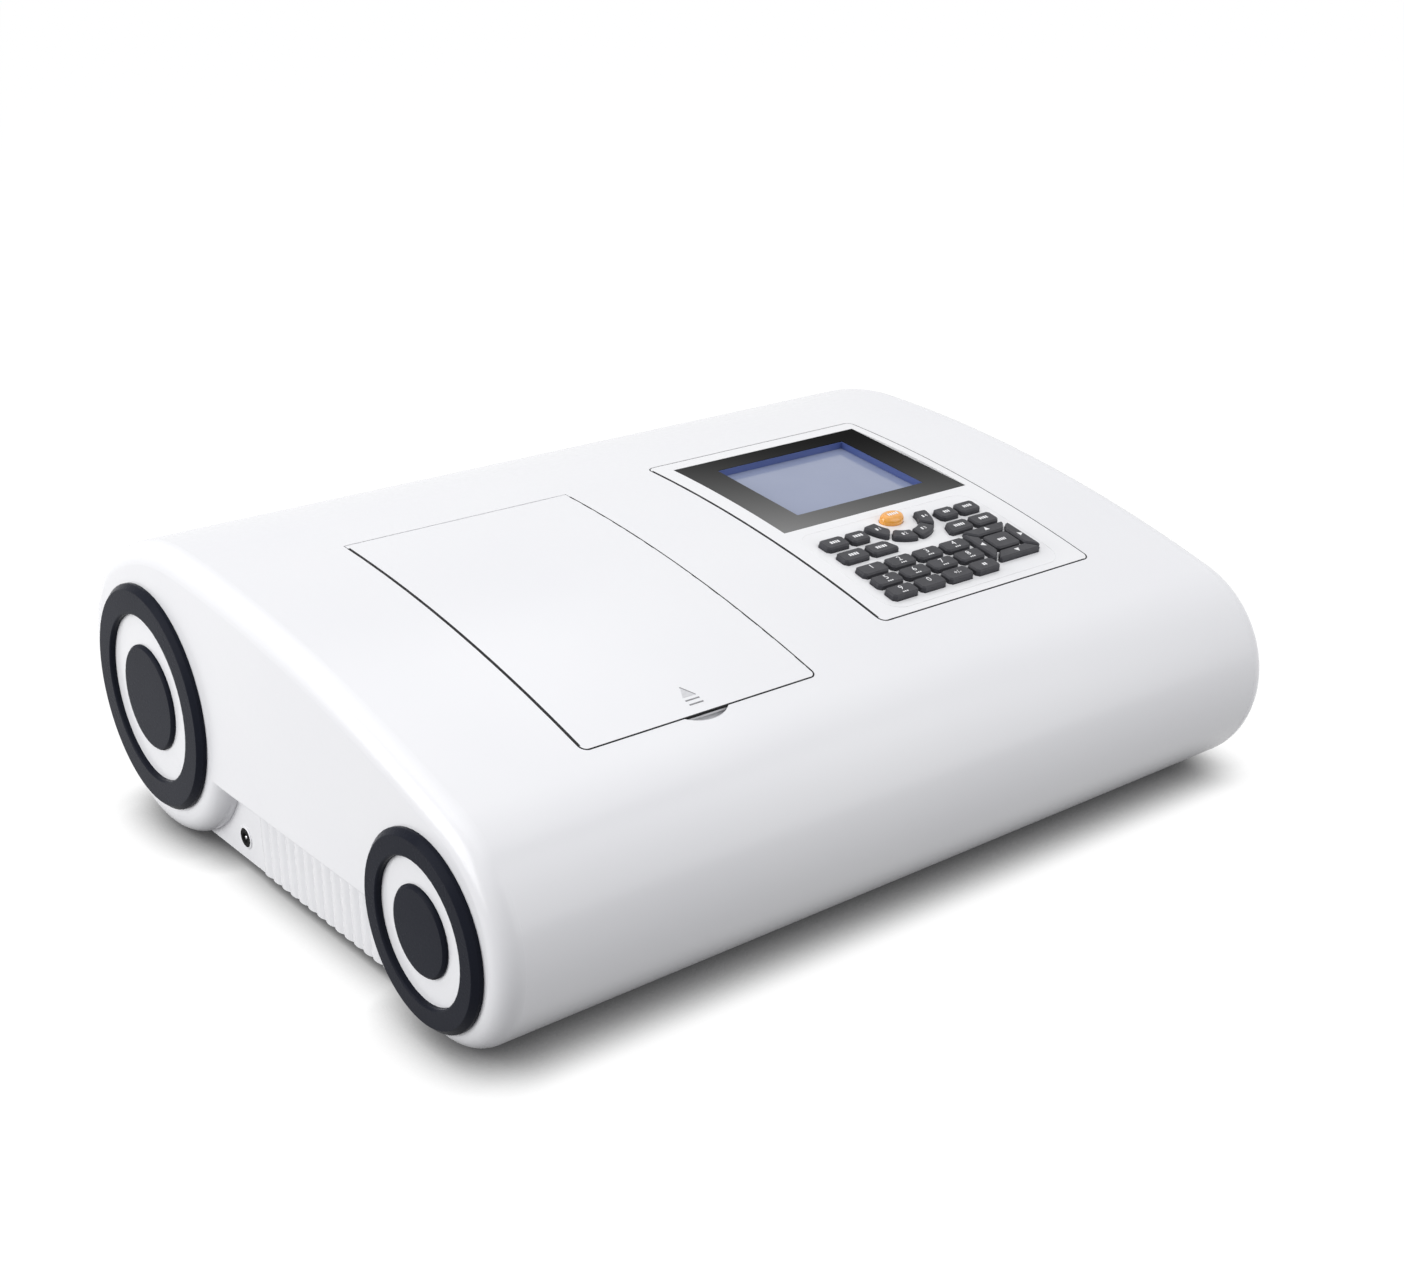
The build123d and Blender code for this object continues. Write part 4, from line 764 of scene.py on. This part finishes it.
def flat_top(node):
    """Gives the place of a construction piece's flat upper face, and the face's corners in that place."""
    mesh = nodes[node].data
    upward = [p for p in mesh.polygons if p.normal.z > UPWARD]
    normal = max(upward, key=lambda p: p.area).normal.copy()
    level = [p for p in upward if p.normal.dot(normal) > LEVEL]
    reach = max(p.center.dot(normal) for p in level)
    top = [p for p in level if p.center.dot(normal) > reach - SAME_HEIGHT]
    middle = sum((p.center * p.area for p in top), Vector()) / sum(p.area for p in top)
    across = Vector((1, 0, 0))
    place = Matrix.Translation(middle) @ Matrix((across, normal.cross(across), normal)).transposed().to_4x4()
    corners = {i for p in top for i in p.vertices}
    return place, [place.inverted() @ mesh.vertices[i].co for i in corners]


# The grey that grows towards the front left of this black is a painted reflection.
bezel_black = surface("bezel_black", (REFLECTION_LOW, REFLECTION_HIGH), patch=0.05,
                      gloss=(0.10, 0.15), gloss_grain=0.004, relief=0.000005, relief_grain=0.003,
                      IOR=1.1, Specular_IOR_Level=0.1)
paint_reflection_front_left(bezel_black)
screen_blue = surface("screen_blue", ((0.255, 0.295, 0.43), (0.275, 0.315, 0.45)), patch=0.05,
                      gloss=(0.10, 0.16), gloss_grain=0.004, relief=0.000003, relief_grain=0.002)
liner_blue = surface("liner_blue", ((0.065, 0.100, 0.28), (0.075, 0.110, 0.30)), patch=0.02,
                     gloss=(0.3, 0.4), gloss_grain=0.003, relief=0.000003, relief_grain=0.002)
eased("display_bezel", BEZEL_EDGE, bezel_black)
dress("display_module", screen_blue)
dress("key_board", board_green)
bezel_place, bezel_corners = flat_top("display_bezel")
rim_x = max(abs(c.x) for c in bezel_corners) - BEZEL_RIM
rim_y = max(abs(c.y) for c in bezel_corners) - BEZEL_RIM
window = [c for c in bezel_corners if abs(c.x) < rim_x and abs(c.y) < rim_y]
left, right = min(c.x for c in window), max(c.x for c in window)
front, back = min(c.y for c in window), max(c.y for c in window)
bm = bmesh.new()
rings = []
for inset, z in ((0, -LINER_FOOT), (LINER_T, -LINER_FOOT), (LINER_T, -LINER_TOP), (0, -LINER_TOP)):
    corners = oblong((left + inset, right - inset), (front + inset, back - inset))
    rings.append([bm.verts.new(bezel_place @ Vector((x, y, z))) for x, y in corners])
add_walls(bm, rings, closed=True)
solid("screen_liner", bm, liner_blue, "housing")


# Keys: satin dark grey caps, and one glossy orange key, moulded in ABS.
# Their raised white print is numerals, arrows, and plain dashes for words, with widths in millimetres.
KEY_EDGE = 0.0003
DIGIT_TALL, DIGIT_UP = 0.0048, 0.0012
SIGN_TALL = 0.8 * DIGIT_TALL
DASH_TALL, DASH_GAP = 0.0027, 0.0006
BARE_DIGITS = "01"
SUBLINE_DASHES = (1.1, 1.1, 1.1)
SUBLINE_UP, SUBLINE_TALL = -0.0033, 0.0011
F_DASH, F_DASH_X = (1.5,), -0.0016
F_DIGIT_TALL, F_DIGIT_X = 0.0030, 0.0012
WORD_DASHES = {"help": (1.7, 1.4, 1.2, 1.5), "load": (1.2, 1.7, 1.6, 1.5), "save": (1.4, 1.7, 1.6, 1.3),
               "print": (1.5, 1.5, 0.6, 1.6, 1.3), "start": (1.3, 1.2, 1.6, 1.4, 1.2),
               "stop": (1.5, 1.2, 1.7, 1.4), "set": (1.4, 1.3, 1.2), "zero": (1.3, 1.2, 1.5, 1.7),
               "cell": (1.5, 1.2, 1.1, 1.1), "clear": (1.4, 1.2), "enter": (1.2, 1.5, 1.2, 1.2, 1.4)}
ARROW_TURNS = {"up": 90, "down": 270, "left": 180, "right": 0}
ARROW_R = 0.0025


def add_flat(bm, points, place):
    """Thin solid of ink with straight edges, on a flat face."""
    add_slab(bm, *([place @ Vector((x, y, z)) for x, y in points] for z in (-INK / 4, 3 * INK / 4)))


def add_dashes(bm, widths, tall, up, place):
    """Row of short upright dashes, in the way of a printed word."""
    widths = [w / 1000 for w in widths]
    x = -(sum(widths) + DASH_GAP * (len(widths) - 1)) / 2
    for w in widths:
        add_flat(bm, oblong((x, x + w), (up - tall / 2, up + tall / 2)), place)
        x += w + DASH_GAP


def add_arrow(bm, degrees, place):
    """Triangle that points a given way."""
    turned = place @ Matrix.Rotation(math.radians(degrees), 4, "Z")
    angles = [2 * math.pi * k / 3 for k in range(3)]
    add_flat(bm, [(ARROW_R * math.cos(a), ARROW_R * math.sin(a)) for a in angles], turned)


key_grey = surface("key_grey", ((0.030, 0.030, 0.036), (0.042, 0.042, 0.049)), patch=0.008,
                   gloss=(0.36, 0.48), gloss_grain=0.0008, relief=0.00003, relief_grain=0.0006,
                   IOR=1.36)
enter_orange = surface("enter_orange", ((0.84, 0.33, 0.030), (0.90, 0.41, 0.055)), patch=0.01,
                       gloss=(0.10, 0.18), gloss_grain=0.002, relief=0.000005, relief_grain=0.0015,
                       Coat_Weight=0.6)
for key in keys:
    name = key.removeprefix("key_")
    if name == "enter":
        eased(key, KEY_EDGE, enter_orange)
    else:
        eased(key, KEY_EDGE, key_grey)
    place, _ = flat_top(key)
    bm = bmesh.new()
    if name.isdigit():
        add_figures(bm, name, DIGIT_TALL, place @ Matrix.Translation((0, DIGIT_UP, 0)))
        if name not in BARE_DIGITS:
            add_dashes(bm, SUBLINE_DASHES, SUBLINE_TALL, SUBLINE_UP, place)
    elif name[0] == "f" and name[1:].isdigit():
        add_dashes(bm, F_DASH, DASH_TALL, 0, place @ Matrix.Translation((F_DASH_X, 0, 0)))
        add_figures(bm, name[1:], F_DIGIT_TALL, place @ Matrix.Translation((F_DIGIT_X, 0, 0)))
    elif name in ARROW_TURNS:
        add_arrow(bm, ARROW_TURNS[name], place)
    elif name == "sign":
        add_figures(bm, "+/-", SIGN_TALL, place)
    else:
        add_dashes(bm, WORD_DASHES[name], DASH_TALL, 0, place)
    solid(f"legend_{name}", bm, ink_white, f"button_{name}")


# Back bay: the power inlet with its switch, the data ports and the fan, in black moulded nylon.
# The ports have pins and a contact tongue in bright metal; screws hold the fan and the connector panel.
BACK_Y = 0.228
BAY_EDGE = 0.0003
FAN_SCREW_R, PANEL_SCREW_R = 0.0030, 0.0026
FAN_SCREW_REACH = 0.025
PANEL_SCREWS = ((0.134, 0.102), (0.190, 0.102), (0.266, 0.102), (0.134, 0.051), (0.266, 0.051))
SERIAL_X, PORT_Z = 0.169, 0.074
PIN_R, PIN_PITCH, PIN_ROW = 0.0005, 0.0028, 0.0014
PIN_BACK, PIN_FRONT, PIN_TIP = 0.2275, 0.2312, 0.0003
PIN_PROFILE = ((PIN_R, PIN_BACK), (PIN_R, PIN_FRONT - PIN_TIP), (PIN_R * 0.5, PIN_FRONT))
TONGUE_X, TONGUE_Y, TONGUE_Z = (0.1466, 0.1494), (0.2215, 0.2285), (0.0735, 0.0755)

for node in ("power_inlet", "data_ports", "power_rocker"):
    eased(node, BAY_EDGE, socket_black)
dress("fan_frame", socket_black)
dress("fan_rotor", socket_black)
fan_low, fan_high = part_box("fan_frame")
fan_middle = (fan_low + fan_high) / 2
bm = bmesh.new()
for sx in (-1, 1):
    for sz in (-1, 1):
        at = (fan_middle.x + sx * FAN_SCREW_REACH, BACK_Y, fan_middle.z + sz * FAN_SCREW_REACH)
        add_screw(bm, facing(at, (0, 1, 0)), FAN_SCREW_R)
for x, z in PANEL_SCREWS:
    add_screw(bm, facing((x, BACK_Y, z), (0, 1, 0)), PANEL_SCREW_R)
solid("back_screws", bm, screw_steel, "housing")
bm = bmesh.new()
for count, z in ((5, PORT_Z + PIN_ROW), (4, PORT_Z - PIN_ROW)):
    for k in range(count):
        pin_place = facing((SERIAL_X + (k - (count - 1) / 2) * PIN_PITCH, 0, z), (0, 1, 0))
        rings = [add_ring(bm, pin_place, r, y, count=10) for r, y in PIN_PROFILE]
        add_walls(bm, rings)
        bm.faces.new(rings[0])
        bm.faces.new(rings[-1])
add_block(bm, TONGUE_X, TONGUE_Y, TONGUE_Z)
solid("port_contacts", bm, screw_steel, "housing")
